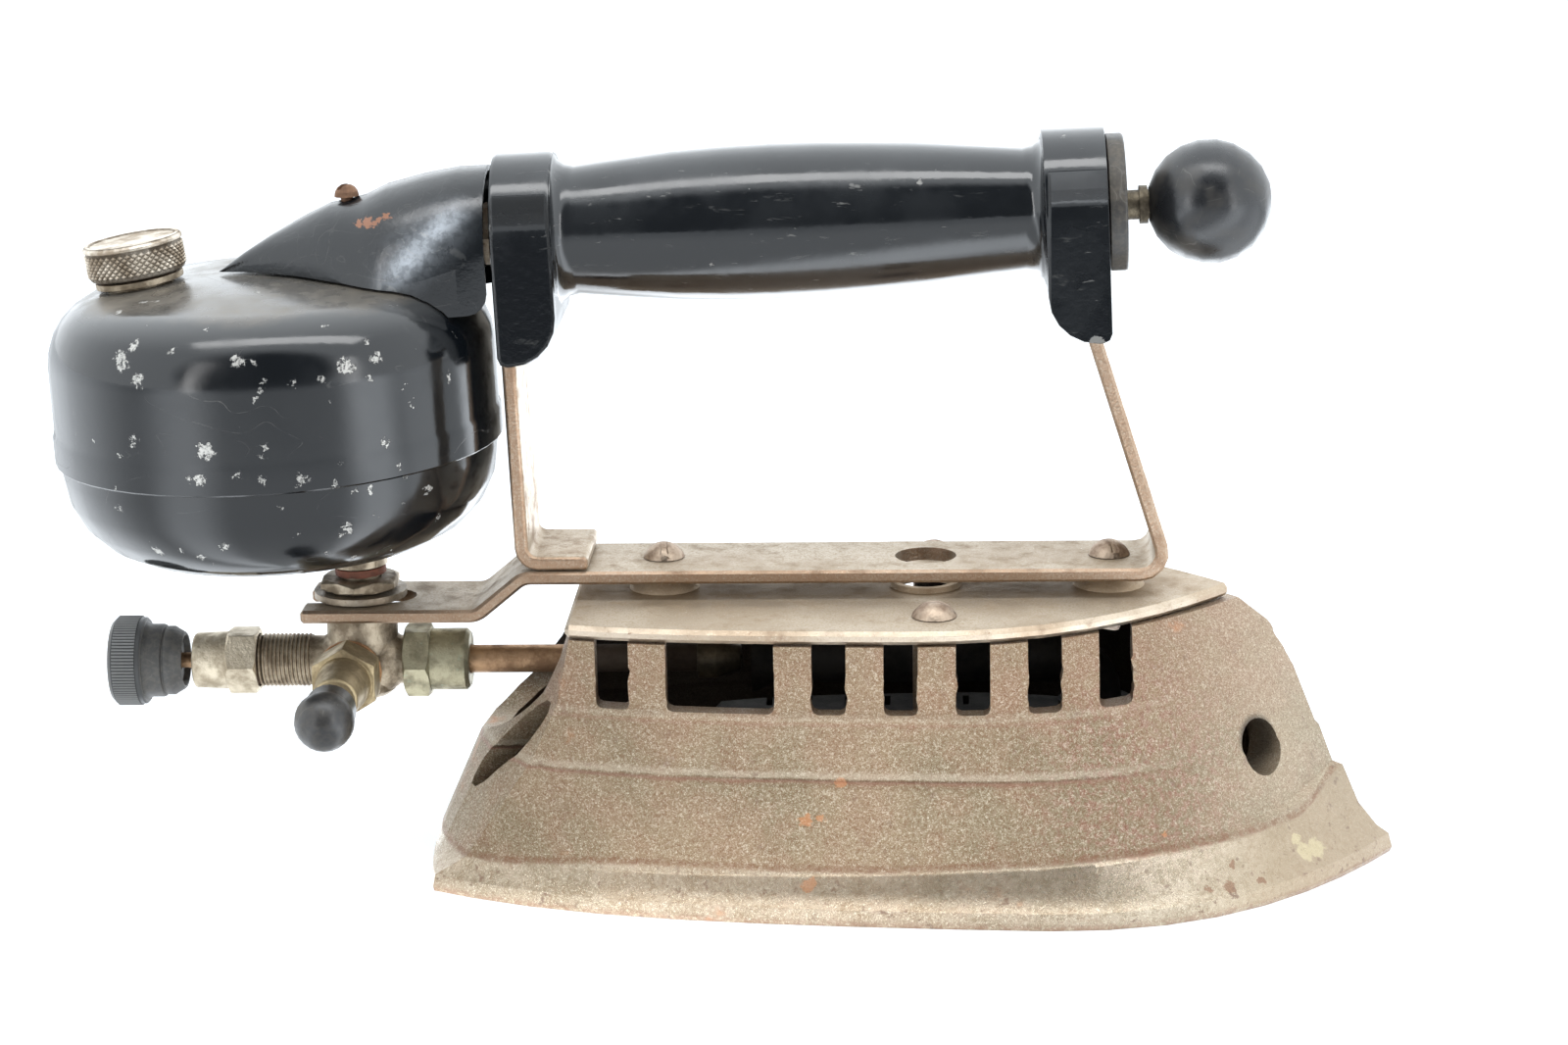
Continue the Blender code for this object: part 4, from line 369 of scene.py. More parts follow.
def castNickel():
    skin = Skin("wornNickelCasting", "worn_nickel_casting")
    look = casting
    x, y, z = skin.parts(skin.place)
    along = skin.parts(skin.facing)[1]
    broad = skin.noise(look["broad"], 4)
    patches = skin.noise(look["patches"], 5, 0.62)
    mottle = skin.noise(look["mottle"], 5, 0.7)
    pebble = skin.noise(look["pebble"], 2, 0.5, 0.6)
    grain = skin.noise(look["grain"], 3, 0.7, 1.2)
    shaken = skin.ragged(look["shake"], 0.0036)
    lipTop = look["lipTop"]
    for low, high, rise in look["lipRises"]:
        lipTop = lipTop + skin.rise(x, low, high) * rise
    wavy = z + (patches - 0.5) * 0.0012
    lip = 1 - skin.rise(wavy, lipTop - 0.0007, lipTop + 0.0007)
    nose = skin.rise(x, *look["nose"])
    polished = skin.band(x, *look["polished"])

    # the pebbled plating
    colour = skin.tint(skin.rise(broad, 0.40, 0.62), look["tan"], look["olive"])
    colour = skin.tint(skin.rise(patches, 0.46, 0.64) * 0.45, colour, look["pink"])
    reddish = skin.rise(z, *look["reddish"])
    reddish = reddish * (0.25 + 0.5 * skin.rise(patches, 0.40, 0.62))
    colour = skin.tint(reddish, colour, look["pink"])
    rosy = skin.near(*look["rosyPlace"]) * skin.rise(mottle, 0.47, 0.58)
    colour = skin.tint(rosy * 0.75, colour, look["rosy"])
    # painted glints: pale specks in the grain and the pebbling, standing in for light caught by the
    # plating
    glint = skin.rise(grain, 0.50, 0.66)
    colour = skin.tint(glint * 0.66 + skin.rise(pebble, 0.54, 0.66) * 0.24, colour, look["pale"])
    pit = 1 - skin.rise(grain, 0.34, 0.48)
    colour = skin.tint(pit * 0.74, colour, look["rust"])
    colour = skin.tint((1 - skin.rise(pebble, 0.32, 0.45)) * 0.30, colour, look["rust"])

    # the ledges, with a painted highlight along each crest and painted shade along each foot, which
    # fade out towards the nose
    step = 0
    behind = 1 - skin.rise(x, *look["ledgeEnd"])
    for height, clear in look["ledges"]:
        crest = skin.band(wavy, *(height + part for part in look["crest"]))
        foot = skin.band(wavy, *(height + part for part in look["foot"]))
        # a painted highlight along the crest and painted shade along the foot
        colour = skin.tint(crest * clear * 0.28 * behind, colour, look["pale"])
        colour = skin.tint(foot * clear * 0.60 * behind, colour, look["rosy"])
        ramp = skin.rise(z, *(height + part for part in look["step"]))
        step = ramp * (clear * behind) + step

    # the polished lip and the nose
    bright = lip * (0.18 + 0.18 * skin.rise(patches, 0.36, 0.56) + 0.22 * polished + 0.06 * nose)
    bright = bright * (0.55 + 0.45 * skin.rise(mottle, 0.40, 0.55))
    colour = skin.tint(bright, colour, look["pale"])
    colour = skin.tint(nose * 0.24, colour, look["pale"])
    colour = skin.tint(lip * skin.rise(x, *look["tannedLip"]) * 0.55, colour, look["tan"])

    # rust and stains, and soot with painted shade inside the casting and its lighting hole
    edge = 1 - skin.rise(wavy, 0.0006, 0.0020)
    seam = 1 - skin.rise(abs(wavy - (lipTop + 0.0006)), 0.0003, 0.0012)
    specks = skin.rise(skin.noise(look["specks"], 5, 0.7), 0.60, 0.67)
    low = 1 - skin.rise(z, 0.004, 0.012)
    worn = skin.greater(edge * 0.6 * skin.rise(mottle, 0.40, 0.55), specks * (0.35 + 0.35 * low))
    seam = seam * (0.25 + 0.35 * skin.rise(mottle, 0.44, 0.56))
    colour = skin.tint(skin.greater(worn, seam), colour, look["rust"])
    stain = skin.rise(skin.noise(look["stains"], 4, 0.6), 0.66, 0.74)
    stain = stain * skin.rise(patches, 0.45, 0.6) * 0.4
    stain = skin.greater(stain, skin.marked(look["rustSpots"], shaken) * 0.42)
    colour = skin.tint(stain, colour, look["orange"])
    colour = skin.tint(skin.marked(look["brownSpots"], shaken) * 0.7, colour, look["rust"])
    colour = skin.tint(skin.marked(look["yellowSpots"], shaken) * 0.40, colour, look["yellow"])
    # soot and painted shade on faces that look inwards and inside the lighting hole
    facingInwards = skin.rise(along * y * -33, 0.15, 0.5)
    inner = skin.greater(facingInwards, skin.marked(look["hole"], skin.place) * 0.75)
    colour = skin.tint(inner * 0.92, colour, look["soot"])

    roughness = 0.42 - 0.08 * lip - 0.08 * polished * lip + 0.25 * pit - 0.12 * glint
    roughness = roughness + inner * 0.3
    smooth = skin.greater(lip, nose)
    skin.bump(step, 0.0006, 0.75)
    skin.bump(pebble, 0.0003, 0.6 - 0.45 * smooth)
    skin.bump(grain, 0.00022, 0.8 - 0.45 * smooth)
    dull = skin.greater(specks, skin.greater(stain, inner))
    return skin.close(colour, roughness, 0.75 - 0.5 * dull)


plated = {
    "tan": (0.42, 0.34, 0.25), "pale": (0.62, 0.55, 0.45), "brown": (0.20, 0.115, 0.070),
    "rust": (0.26, 0.12, 0.06), "dust": (0.42, 0.325, 0.220), "dirt": (0.45, 0.335, 0.215),
    "edge": (0.37, 0.240, 0.155),
}
platedPatterns = {
    # scales, from broad to fine
    "broad": 42, "patches": 210, "specks": 800, "crumbs": 1500, "grain": 1900, "grit": 2700,
    "crumb": (0.80, 0.76, 0.68),
    # the dirt and painted shade on the cover plate below the strap: half its width, and where it
    # ends
    "dirtAndShadeHalf": (0.0085, 0.0120), "dirtAndShadeEnd": (0.046, 0.052),
}


def plateNickel(name, slot, tarnish, speckle, dull=0.25, shade=1.0, edges=0.0, covered=0.0):
    skin = Skin(name, slot)
    look = platedPatterns
    tan, pale, brown, rust, dust, dirt, edge = (
        tuple(part * shade for part in colour) for colour in plated.values())
    x, y = skin.parts(skin.place)[:2]
    along, upward = skin.parts(skin.facing)[1:]
    broad = skin.noise(look["broad"], 4)
    patches = skin.noise(look["patches"], 5, 0.65)
    grain = skin.noise(look["grain"], 3, 0.6)
    grit = skin.noise(look["grit"], 2, 0.6)
    colour = skin.tint(skin.rise(broad, 0.38, 0.62), pale, tan)
    tarnished = skin.rise(patches, 0.64 - tarnish, 0.82 - tarnish * 0.6)
    colour = skin.tint(tarnished * 0.70, colour, brown)
    specks = skin.rise(skin.noise(look["specks"], 4, 0.7), 0.66 - speckle, 0.72 - speckle)
    colour = skin.tint(specks * 0.65, colour, rust)
    settled = skin.rise(upward, 0.5, 0.95) * (dull + 0.5 * skin.rise(grain, 0.46, 0.66))
    colour = skin.tint(settled, colour, dust)
    if edges:
        side = skin.rise(abs(along), 0.35, 0.8) * edges
        colour = skin.tint(side * (0.7 + 0.3 * skin.rise(grain, 0.60, 0.45)), colour, edge)
    # dirt and painted shade on the cover plate below the strap
    if covered:
        below = 1 - skin.rise(abs(y) + (patches - 0.5) * 0.003, *look["dirtAndShadeHalf"])
        below = below * (1 - skin.rise(x, *look["dirtAndShadeEnd"]))
        colour = skin.tint(below * covered, colour, dirt)
        settled = skin.greater(settled, below * 0.8)
    colour = skin.tint(skin.rise(grit, 0.60, 0.70) * 0.45, colour, pale)
    colour = skin.tint((1 - skin.rise(grit, 0.28, 0.40)) * 0.35, colour, brown)
    crumbs = skin.rise(skin.noise(look["crumbs"], 2, 0.5), 0.74, 0.78)
    crumbs = crumbs * skin.rise(upward, 0.5, 0.9)
    colour = skin.tint(crumbs * 0.7, colour, look["crumb"])
    roughness = 0.38 + 0.26 * skin.rise(patches, 0.40, 0.75) + 0.2 * specks + 0.2 * settled
    skin.bump(patches, 0.0003, 0.4)
    skin.bump(grain, 0.00018, 0.6)
    return skin.close(colour, roughness, 0.84 - 0.45 * specks - 0.40 * settled)


enamel = {
    "black": (0.0050, 0.0065, 0.0085), "bare": (0.52, 0.51, 0.48), "dust": (0.30, 0.255, 0.195),
    "brown": (0.050, 0.030, 0.020), "orange": (0.36, 0.165, 0.095), "haze": (0.36, 0.38, 0.40),
    "film": (0.40, 0.41, 0.41), "paintedSheen": (0.60, 0.65, 0.71), "moulded": (0.013, 0.014, 0.016),
    "handled": (0.10, 0.085, 0.065), "groove": (0.004, 0.004, 0.004),
    # the painted sheen on the hood, standing in for a reflection: its ends in millimetres, its core
    # and its halo
    "sheen": ((-109.5, -18.6, 129.5), (-94.5, -14.2, 143.6)),
    "sheenCore": (0.0002, 0.0044), "sheenHalo": (0.0010, 0.0090),
    # rust on the hood, in millimetres with its radius
    "hoodRust": (
        (-115.9, -10.9, 140.6, 1.1), (-113.7, -11.9, 141.1, 1.3), (-111.6, -12.6, 141.5, 1.2),
        (-109.8, -12.7, 142.1, 0.9),
    ),
    # the handle's middle, and how far from it the flat sides of its end blocks start
    "gripMiddle": -0.02475, "gripFlat": (0.0500, 0.0506),
    # chips through the tank's enamel, in millimetres with their radius
    "chips": (
        (-105.1, -33.6, 92.6, 0.59), (-114.3, -40.1, 91.5, 0.79), (-101.1, -29.1, 88.9, 0.93),
        (-163.0, -36.3, 87.1, 0.86), (-128.4, -44.9, 89.4, 0.59), (-116.6, -40.1, 84.1, 0.85),
        (-117.5, -39.5, 82.2, 0.46), (-140.7, -43.0, 80.9, 0.92), (-155.4, -37.2, 78.2, 1.19),
        (-146.2, -40.5, 78.0, 0.92), (-150.6, -39.9, 79.3, 0.46), (-160.9, -37.4, 118.9, 1.31),
        (-160.1, -38.7, 117.5, 1.57), (-157.8, -37.5, 121.0, 1.18), (-156.7, -41.5, 114.9, 1.43),
        (-149.6, -41.5, 120.7, 0.78), (-135.9, -44.7, 119.2, 1.42), (-132.5, -44.6, 119.1, 0.65),
        (-115.0, -40.4, 117.1, 1.69), (-130.7, -45.8, 115.5, 0.58), (-131.4, -46.1, 113.6, 0.65),
        (-132.6, -46.3, 111.5, 0.65), (-109.5, -36.7, 118.0, 1.18), (-111.4, -36.1, 121.0, 0.65),
        (-110.8, -38.3, 114.3, 0.65), (-119.5, -42.9, 115.3, 0.78), (-125.2, -44.8, 114.9, 0.65),
        (-158.2, -41.1, 102.7, 0.92), (-158.6, -40.8, 101.2, 0.59), (-130.9, -46.2, 101.8, 0.71),
        (-131.7, -46.3, 99.9, 0.58), (-108.5, -37.3, 100.7, 0.92), (-106.0, -35.9, 95.4, 0.59),
        (-144.4, -46.2, 95.3, 1.15), (-146.5, -45.8, 95.6, 0.70), (-131.8, -46.7, 95.3, 0.85),
        (-136.4, -47.0, 96.3, 0.78), (-124.2, -45.5, 95.2, 1.30), (-119.3, -36.7, 124.2, 0.59),
    ),
}


def tankEnamel():
    skin = Skin("blackEnamel", "black_enamel")
    look = enamel
    upward = skin.parts(skin.facing)[2]
    smear = skin.noise(38, 4, 0.6)
    fine = skin.noise(420, 4, 0.62)
    shaken = skin.ragged(780, 0.0052)
    spots = skin.cells(70, shaken)
    luck = skin.parts(spots.other("Color"))[0]
    chip = skin.rise(0.14 * luck ** 4 - spots, 0.0, 0.02)
    small = skin.cells(210, shaken)
    smallLuck = skin.parts(small.other("Color"))[1]
    chip = skin.greater(chip, skin.rise(0.20 * smallLuck ** 6 - small, 0.0, 0.03))
    broken = skin.rise(skin.noise(900, 4, 0.75), 0.42, 0.47)
    chip = skin.greater(chip, skin.marked(look["chips"], shaken) * broken)
    worn = chip * (0.45 + 0.55 * skin.rise(skin.noise(1700, 3, 0.7), 0.42, 0.50))
    dusty = skin.rise(upward + (smear - 0.5) * 0.5, 0.86, 1.10)
    dusty = dusty * (0.40 + 0.20 * skin.rise(fine, 0.30, 0.70))
    film = skin.rise(upward, 0.55, 0.96) * 0.17
    colour = skin.tint(film, look["black"], look["film"])
    colour = skin.tint(dusty, colour, look["dust"])
    colour = skin.tint(worn * 0.92, colour, look["bare"])
    scratch = skin.hairlines(34, 0.004) * skin.rise(skin.noise(24, 2), 0.52, 0.6)
    level = skin.hairlines(52, 0.004, skin.stretched((1, 1, 2.2)))
    scratch = skin.greater(scratch, level * skin.rise(smear, 0.52, 0.62))
    colour = skin.tint(scratch * skin.rise(fine, 0.40, 0.60) * 0.16, colour, look["bare"])
    hazy = skin.rise(smear, 0.42, 0.68)
    roughness = 0.10 + 0.14 * hazy + dusty * 0.5 + chip * 0.25 + 0.1 * scratch
    skin.bump(fine, 0.00010, 0.14)
    skin.bump(1 - chip, 0.00012, 0.7)
    return skin.close(colour, roughness, worn * 0.5)


def hoodEnamel():
    skin = Skin("hoodEnamel", "black_enamel")
    look = enamel
    smear = skin.noise(55, 4, 0.6)
    fine = skin.noise(600, 4, 0.62)
    shaken = skin.ragged(500, 0.005)
    rusty = skin.marked(look["hoodRust"], shaken)
    # a painted sheen up the near side, standing in for a reflection, broken by fine scratches
    low, high = Vector(look["sheen"][0]) / 1000, Vector(look["sheen"][1]) / 1000
    middle = (low + high) / 2
    span = skin.fromAxis(middle, (high - low).normalized()) + (smear - 0.5) * 0.004
    core, halo = (1 - skin.rise(span, *look[part]) for part in ("sheenCore", "sheenHalo"))
    paintedSheen = core * 0.75 + halo * 0.25
    paintedSheen = paintedSheen * skin.near(middle, (high - low).length * 0.74, 0.0120)
    paintedSheen = paintedSheen * (0.62 + 0.38 * skin.rise(fine, 0.38, 0.60))
    lines = skin.hairlines(60, 0.006, skin.stretched((1, 1, 1.8), (0.3, 0.6, 0.2)))
    lines = skin.greater(lines, skin.hairlines(95, 0.006)) * skin.rise(fine, 0.42, 0.52)
    colour = skin.tint(rusty * 0.8, look["black"], look["orange"])
    # the painted sheen: a pale patch standing in for a reflection
    colour = skin.tint(paintedSheen * 0.92, colour, look["paintedSheen"])
    colour = skin.tint(lines * (0.04 + 0.50 * paintedSheen), colour, look["bare"])
    roughness = 0.12 + 0.14 * skin.rise(smear, 0.42, 0.66) + rusty * 0.4 + paintedSheen * 0.16
    skin.bump(fine, 0.00015, 0.35)
    skin.bump(skin.noise(1500, 3, 0.6), 0.00006, 0.4)
    return skin.close(colour, roughness, 0.0)


def handleLacquer():
    skin = Skin("handleLacquer", "black_lacquer")
    look = enamel
    x, z = skin.parts(skin.place)[::2]
    along, upward = skin.parts(skin.facing)[1:]
    smear = skin.noise(45, 4, 0.6)
    fine = skin.noise(500, 4, 0.6)
    shaken = skin.ragged(420, 0.005)
    marks = skin.cells(120, shaken)
    luck = skin.parts(marks.other("Color"))[2]
    dent = skin.rise(0.26 * luck ** 4 - marks, 0.0, 0.03)
    level = skin.noise(1, 4, 0.65, 0.5, skin.stretched((130, 520, 520)))
    slanting = skin.noise(1, 3, 0.6, 0.3, skin.stretched((210, 520, 900), (0, 0.6, 0)))
    slanting = skin.rise(slanting, 0.66, 0.74) * skin.rise(smear, 0.46, 0.58)
    streak = skin.greater(skin.rise(level, 0.62, 0.78) * 0.5, slanting)
    # the underside tinted brown: a painted reflection of the plate and strap below
    under = 1 - skin.rise(upward, -0.95, -0.40)
    colour = skin.tint(under * 0.8, look["black"], look["brown"])
    endBlocks = skin.rise(abs(x - look["gripMiddle"]), *look["gripFlat"])
    flat = skin.rise(abs(along), 0.80, 0.99) * endBlocks
    film = skin.rise(abs(upward + 0.15), 0.05, 0.6) * skin.rise(smear, 0.40, 0.66)
    colour = skin.tint(film * 0.03, colour, look["haze"])
    colour = skin.tint(streak * 0.22, colour, look["bare"])
    colour = skin.tint(dent * 0.45, colour, look["bare"])
    roughness = 0.09 + 0.12 * skin.rise(smear, 0.42, 0.64) + 0.20 * streak + dent * 0.2
    skin.bump(z * flat * -0.16, 1.0)
    skin.bump(fine, 0.0002, 0.10 + 0.5 * flat)
    skin.bump(smear, 0.0015, 0.10)
    skin.bump(1 - dent, 0.0002, 0.5)
    return skin.close(colour, roughness + flat * 0.10, 0.0, 0.2 - flat * 0.2, 0.12)


def blackMoulding(name, slot, worn, dust=0.0, ribs=None):
    skin = Skin(name, slot)
    look = enamel
    smear = skin.noise(90, 4, 0.6)
    fine = skin.noise(900, 3, 0.6)
    specks = skin.rise(skin.noise(1300, 3, 0.7), 0.68, 0.76)
    colour = skin.tint(skin.rise(smear, 0.45, 0.70) * worn, look["moulded"], look["handled"])
    colour = skin.tint(specks * 0.25, colour, look["bare"])
    lines = skin.hairlines(120, 0.008) * skin.rise(smear, 0.5, 0.6)
    colour = skin.tint(lines * 0.10, colour, look["bare"])
    colour = skin.tint(dust * (0.4 + 0.6 * skin.rise(fine, 0.42, 0.6)), colour, look["dust"])
    if ribs:
        # dust on the crests of the knurling, and painted shade in the grooves between them
        point, axis, root, crest = ribs
        height = skin.fromAxis(point, axis)
        groove = skin.band(height, root - 0.0003, root - 0.0001, root, crest)
        colour = skin.tint(groove, colour, look["groove"])
        colour = skin.tint(skin.rise(height, root, crest) * 0.50, colour, look["film"])
        colour = skin.tint(0.12, colour, look["film"])
    roughness = 0.24 + 0.20 * skin.rise(smear, 0.40, 0.65) + dust
    skin.bump(fine, 0.0001, 0.25)
    return skin.close(colour, roughness, 0.0)


brassMarks = {
    "grime": (0.030, 0.020, 0.013), "soot": (0.020, 0.014, 0.010),
    # how squarely a face looks along the axis before it counts as an end, without grime and painted
    # shade
    "endFace": (0.75, 0.95), "sootFade": 0.004,
}


def agedBrass(name, slot, plain, dark, bloom, bloomShare, grime=None, sootFrom=None):
    skin = Skin(name, slot)
    look = brassMarks
    patches = skin.noise(190, 5, 0.62)
    grain = skin.noise(1500, 3, 0.6)
    spots = skin.noise(520, 5, 0.7)
    colour = skin.tint(skin.rise(patches, 0.38, 0.64), plain, dark)
    bloomed = skin.rise(spots, 0.66 - bloomShare, 0.80 - bloomShare)
    colour = skin.tint(bloomed * 0.7, colour, bloom)
    colour = skin.tint(skin.rise(grain, 0.56, 0.76) * 0.30, colour, plain)
    colour = skin.tint((1 - skin.rise(grain, 0.28, 0.42)) * 0.5, colour, dark)
    roughness = 0.44 + 0.26 * skin.rise(patches, 0.36, 0.70)
    if grime:
        # grime and painted shade between the teeth or ridges of a turned part
        point, axis, root, crest, share = grime
        across, along, upward = skin.parts(skin.facing)
        endwise = abs(across * axis[0] + along * axis[1] + upward * axis[2])
        deep = 1 - skin.rise(skin.fromAxis(point, axis), root, crest)
        deep = deep * (1 - skin.rise(endwise, *look["endFace"]))
        # grime and painted shade darken the grooves
        colour = skin.tint(deep * share, colour, look["grime"])
        roughness = roughness + deep * 0.3
    metallic = 0.80 - 0.4 * bloomed
    if sootFrom:
        x, fade = skin.parts(skin.place)[0], look["sootFade"]
        sooty = skin.rise(x, sootFrom - fade, sootFrom + fade)
        colour = skin.tint(sooty * 0.93, colour, look["soot"])
        roughness = roughness + sooty * 0.3
        metallic = metallic * (1 - 0.8 * sooty)
    skin.bump(patches, 0.0005, 0.45)
    skin.bump(grain, 0.0002, 0.7)
    return skin.close(colour, roughness, metallic)


def dullSurface(name, slot, plain, dark, metal=0.0):
    skin = Skin(name, slot)
    patches = skin.noise(260, 5, 0.65)
    grain = skin.noise(1600, 3, 0.6)
    colour = skin.tint(skin.rise(patches, 0.38, 0.64), plain, dark)
    skin.bump(grain, 0.0002, 0.6)
    return skin.close(colour, 0.6 + 0.25 * patches, metal)


spindle = {"place": (0, 0, 0.0442), "axis": (1, 0, 0)}
capFrame = {"place": (-0.1641176, 0, 0.1284361), "axis": (-0.1454503, 0, 0.9893656)}
# point, axis, radius at the root and at the crest, and for the grime and painted shade its share
knobRibs = (spindle["place"], spindle["axis"], 0.00932, 0.00955)
threadGrimeAndShade = (spindle["place"], spindle["axis"], 0.00535, 0.00568, 0.85)
capGrimeAndShade = (capFrame["place"], capFrame["axis"], 0.00988, 0.01025, 0.55)

finishes = {
    "casting": castNickel(),
    "plate": plateNickel(
        "wornNickelPlate", "worn_nickel_sheet", 0.08, 0.02, 0.48, edges=0.28, covered=0.60),
    "strapPlate": plateNickel(
        "rustyStrapPlate", "worn_nickel_sheet", 0.12, 0.02, 0.45, shade=0.86, edges=0.9),
    "leg": plateNickel("rustyLeg", "worn_nickel_sheet", 0.18, 0.05, 0.40, shade=0.95, edges=0.95),
    "screw": plateNickel("nickelScrew", "worn_nickel_sheet", 0.14, 0.02, 0.1, shade=0.62),
    "rustySteel": plateNickel("rustySteel", "rusty_steel", 0.30, 0.08, 0.2, shade=0.72),
    "tank": tankEnamel(),
    "hood": hoodEnamel(),
    "handle": handleLacquer(),
    "ball": blackMoulding("ballLacquer", "black_lacquer", 0.30),
    "phenolic": blackMoulding("blackPhenolic", "black_phenolic", 0.45, 0.08),
    "knurledKnob": blackMoulding("knurledPhenolic", "black_phenolic", 0.15, 0.20, knobRibs),
    "endPlate": blackMoulding("dustyPhenolic", "black_phenolic", 0.5, 0.16),
    # plain, dark and bloom colours, then the share of bloom
    "brass": agedBrass(
        "oldBrass", "old_brass",
        (0.44, 0.37, 0.275), (0.20, 0.155, 0.105), (0.30, 0.165, 0.09), 0.03),
    "threadBrass": agedBrass(
        "threadBrass", "old_brass",
        (0.46, 0.375, 0.27), (0.24, 0.18, 0.12), (0.26, 0.15, 0.09), 0.0, threadGrimeAndShade),
    "nutBrass": agedBrass(
        "paleBrass", "old_brass",
        (0.60, 0.525, 0.405), (0.36, 0.30, 0.215), (0.28, 0.20, 0.13), 0.02),
    "capNickel": agedBrass(
        "capNickel", "old_brass",
        (0.63, 0.57, 0.485), (0.31, 0.25, 0.185), (0.26, 0.20, 0.14), -0.02, capGrimeAndShade),
    "bonnetBrass": agedBrass(
        "bonnetBrass", "old_brass",
        (0.42, 0.335, 0.20), (0.25, 0.19, 0.11), (0.25, 0.16, 0.09), 0.02),
    "greenBrass": agedBrass(
        "greenBrass", "green_brass",
        (0.42, 0.385, 0.265), (0.25, 0.225, 0.15), (0.30, 0.37, 0.28), 0.07),
    "tube": agedBrass(
        "brownTube", "brown_copper",
        (0.46, 0.29, 0.165), (0.27, 0.16, 0.09), (0.42, 0.25, 0.13), 0.02, sootFrom=-0.074),
    "brownScrew": agedBrass(
        "brownScrew", "rusty_steel",
        (0.42, 0.33, 0.25), (0.24, 0.165, 0.115), (0.55, 0.46, 0.37), 0.05),
    "darkBrass": agedBrass(
        "darkBrass", "old_brass",
        (0.13, 0.108, 0.075), (0.065, 0.052, 0.036), (0.10, 0.065, 0.035), 0.03),
    "copper": agedBrass(
        "copperRing", "bright_copper",
        (0.60, 0.33, 0.16), (0.34, 0.19, 0.10), (0.30, 0.16, 0.08), 0.0),
    "fibre": dullSurface("redFibre", "red_fibre", (0.24, 0.080, 0.045), (0.12, 0.048, 0.03)),
    "leather": dullSurface("oiledLeather", "leather", (0.17, 0.10, 0.06), (0.09, 0.055, 0.035)),
    "rustScrew": dullSurface(
        "rustScrew", "rusty_steel", (0.26, 0.145, 0.085), (0.14, 0.075, 0.045), 0.4),
    "soot": dullSurface(
        "sootyIron", "burnt_iron", (0.022, 0.019, 0.016), (0.010, 0.009, 0.008), 0.2),
}
print("finishes ready:", len(finishes))


# CAD nodes carried over with rounded edges and smooth faces
dressing = {
    # node: body, finish, edge width, sharpest smooth angle
    "base_casting": ("iron", "casting", 0.0006, 26),
    "cover_plate": ("iron", "plate", 0.0004, 30),
    "strap": ("iron", "strapPlate", 0.0007, 30),
    "rear_leg": ("iron", "leg", 0.0007, 30),
    "strap_nut_rear": ("iron", "rustySteel", 0.00012, 35),
    "strap_nut_front": ("iron", "rustySteel", 0.00012, 35),
    "barrel_nut": ("iron", "rustySteel", 0.00012, 35),
    "outlet_washer": ("iron", "screw", 0.00012, 35),
    "tank_lower_shell": ("iron", "tank", 0.0001, 35),
    "tank_upper_shell": ("iron", "tank", 0.0001, 35),
    "hood": ("iron", "hood", 0.00012, 40),
    "handle_grip": ("iron", "handle", 0.0007, 36),
    "end_plate": ("iron", "endPlate", 0.0002, 35),
    "burner": ("iron", "soot", 0.0002, 35),
    "mixing_tube": ("iron", "soot", 0.0002, 35),
    "gas_tip": ("iron", "darkBrass", 0.0001, 35),
    "valve_body": ("iron", "brass", 0.0002, 40),
    "packing_nut": ("iron", "nutBrass", 0.00018, 32),
    "side_bonnet": ("iron", "bonnetBrass", 0.00018, 32),
    "lock_nut": ("iron", "brass", 0.00018, 32),
    "outlet_bush": ("iron", "brass", 0.00015, 35),
    "filler_neck": ("iron", "brass", 0.00015, 35),
    "air_elbow": ("iron", "brass", 0.00015, 35),
    "check_valve": ("iron", "brass", 0.00015, 35),
    "pump_barrel": ("iron", "brass", 0.00015, 35),
    "coupling_nut": ("iron", "greenBrass", 0.00018, 32),
    "generator_tube": ("iron", "tube", 0.0001, 35),
    "bonnet_gasket": ("iron", "copper", 0.0001, 35),
    "outlet_gasket": ("iron", "fibre", 0.00015, 35),
    "filler_gasket": ("filler_seal", "fibre", 0.0001, 35),
    "stem_packing": ("iron", "leather", 0.0001, 35),
    "pump_rod": ("pump", "darkBrass", 0.0001, 35),
    "knob_collar": ("pump", "darkBrass", 0.00015, 35),
    "pump_knob": ("pump", "ball", 0.0001, 40),
    "piston_nut": ("pump", "brass", 0.0001, 35),
    "piston_washer": ("pump", "brass", 0.0001, 35),
    "piston_cup": ("pump", "leather", 0.0001, 35),
    "valve_stem": ("main_spindle", "tube", 0.0001, 35),
    "side_stem": ("side_spindle", "tube", 0.0001, 35),
    "side_knob": ("side_spindle", "phenolic", 0.0001, 38),
    "check_ball": ("valve_ball", "screw", 0.0001, 40),
    "hood_screw": ("iron", "rustScrew", 0.0001, 35),
}


def pieceName(node):
    words = node.split("_")
    return words[0] + "".join(word.capitalize() for word in words[1:])


def show(name, shape, finish, body, sharp, replaced=(), width=0.0):
    mesh = bpy.data.meshes.new(name)
    shape.to_mesh(mesh)
    shape.free()
    mesh.polygons.foreach_set("use_smooth", [True] * len(mesh.polygons))
    mesh.set_sharp_from_angle(angle=radians(sharp))
    piece = bpy.data.objects.new(name, mesh)
    collection.objects.link(piece)
    mesh.materials.append(finishes[finish].material)
    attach(piece, body)
    if replaced:
        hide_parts(*replaced)
    for node in replaced:
        materials = cadNodes[node].data.materials
        materials.clear()
        materials.append(finishes[finish].material)
    if width:
        edges = piece.modifiers.new("edges", "BEVEL")
        edges.width = width
        edges.segments = 2
        edges.limit_method = "ANGLE"
        edges.angle_limit = radians(sharp)
        edges.harden_normals = True
        even = piece.modifiers.new("evenNormals", "WEIGHTED_NORMAL")
        even.keep_sharp = True


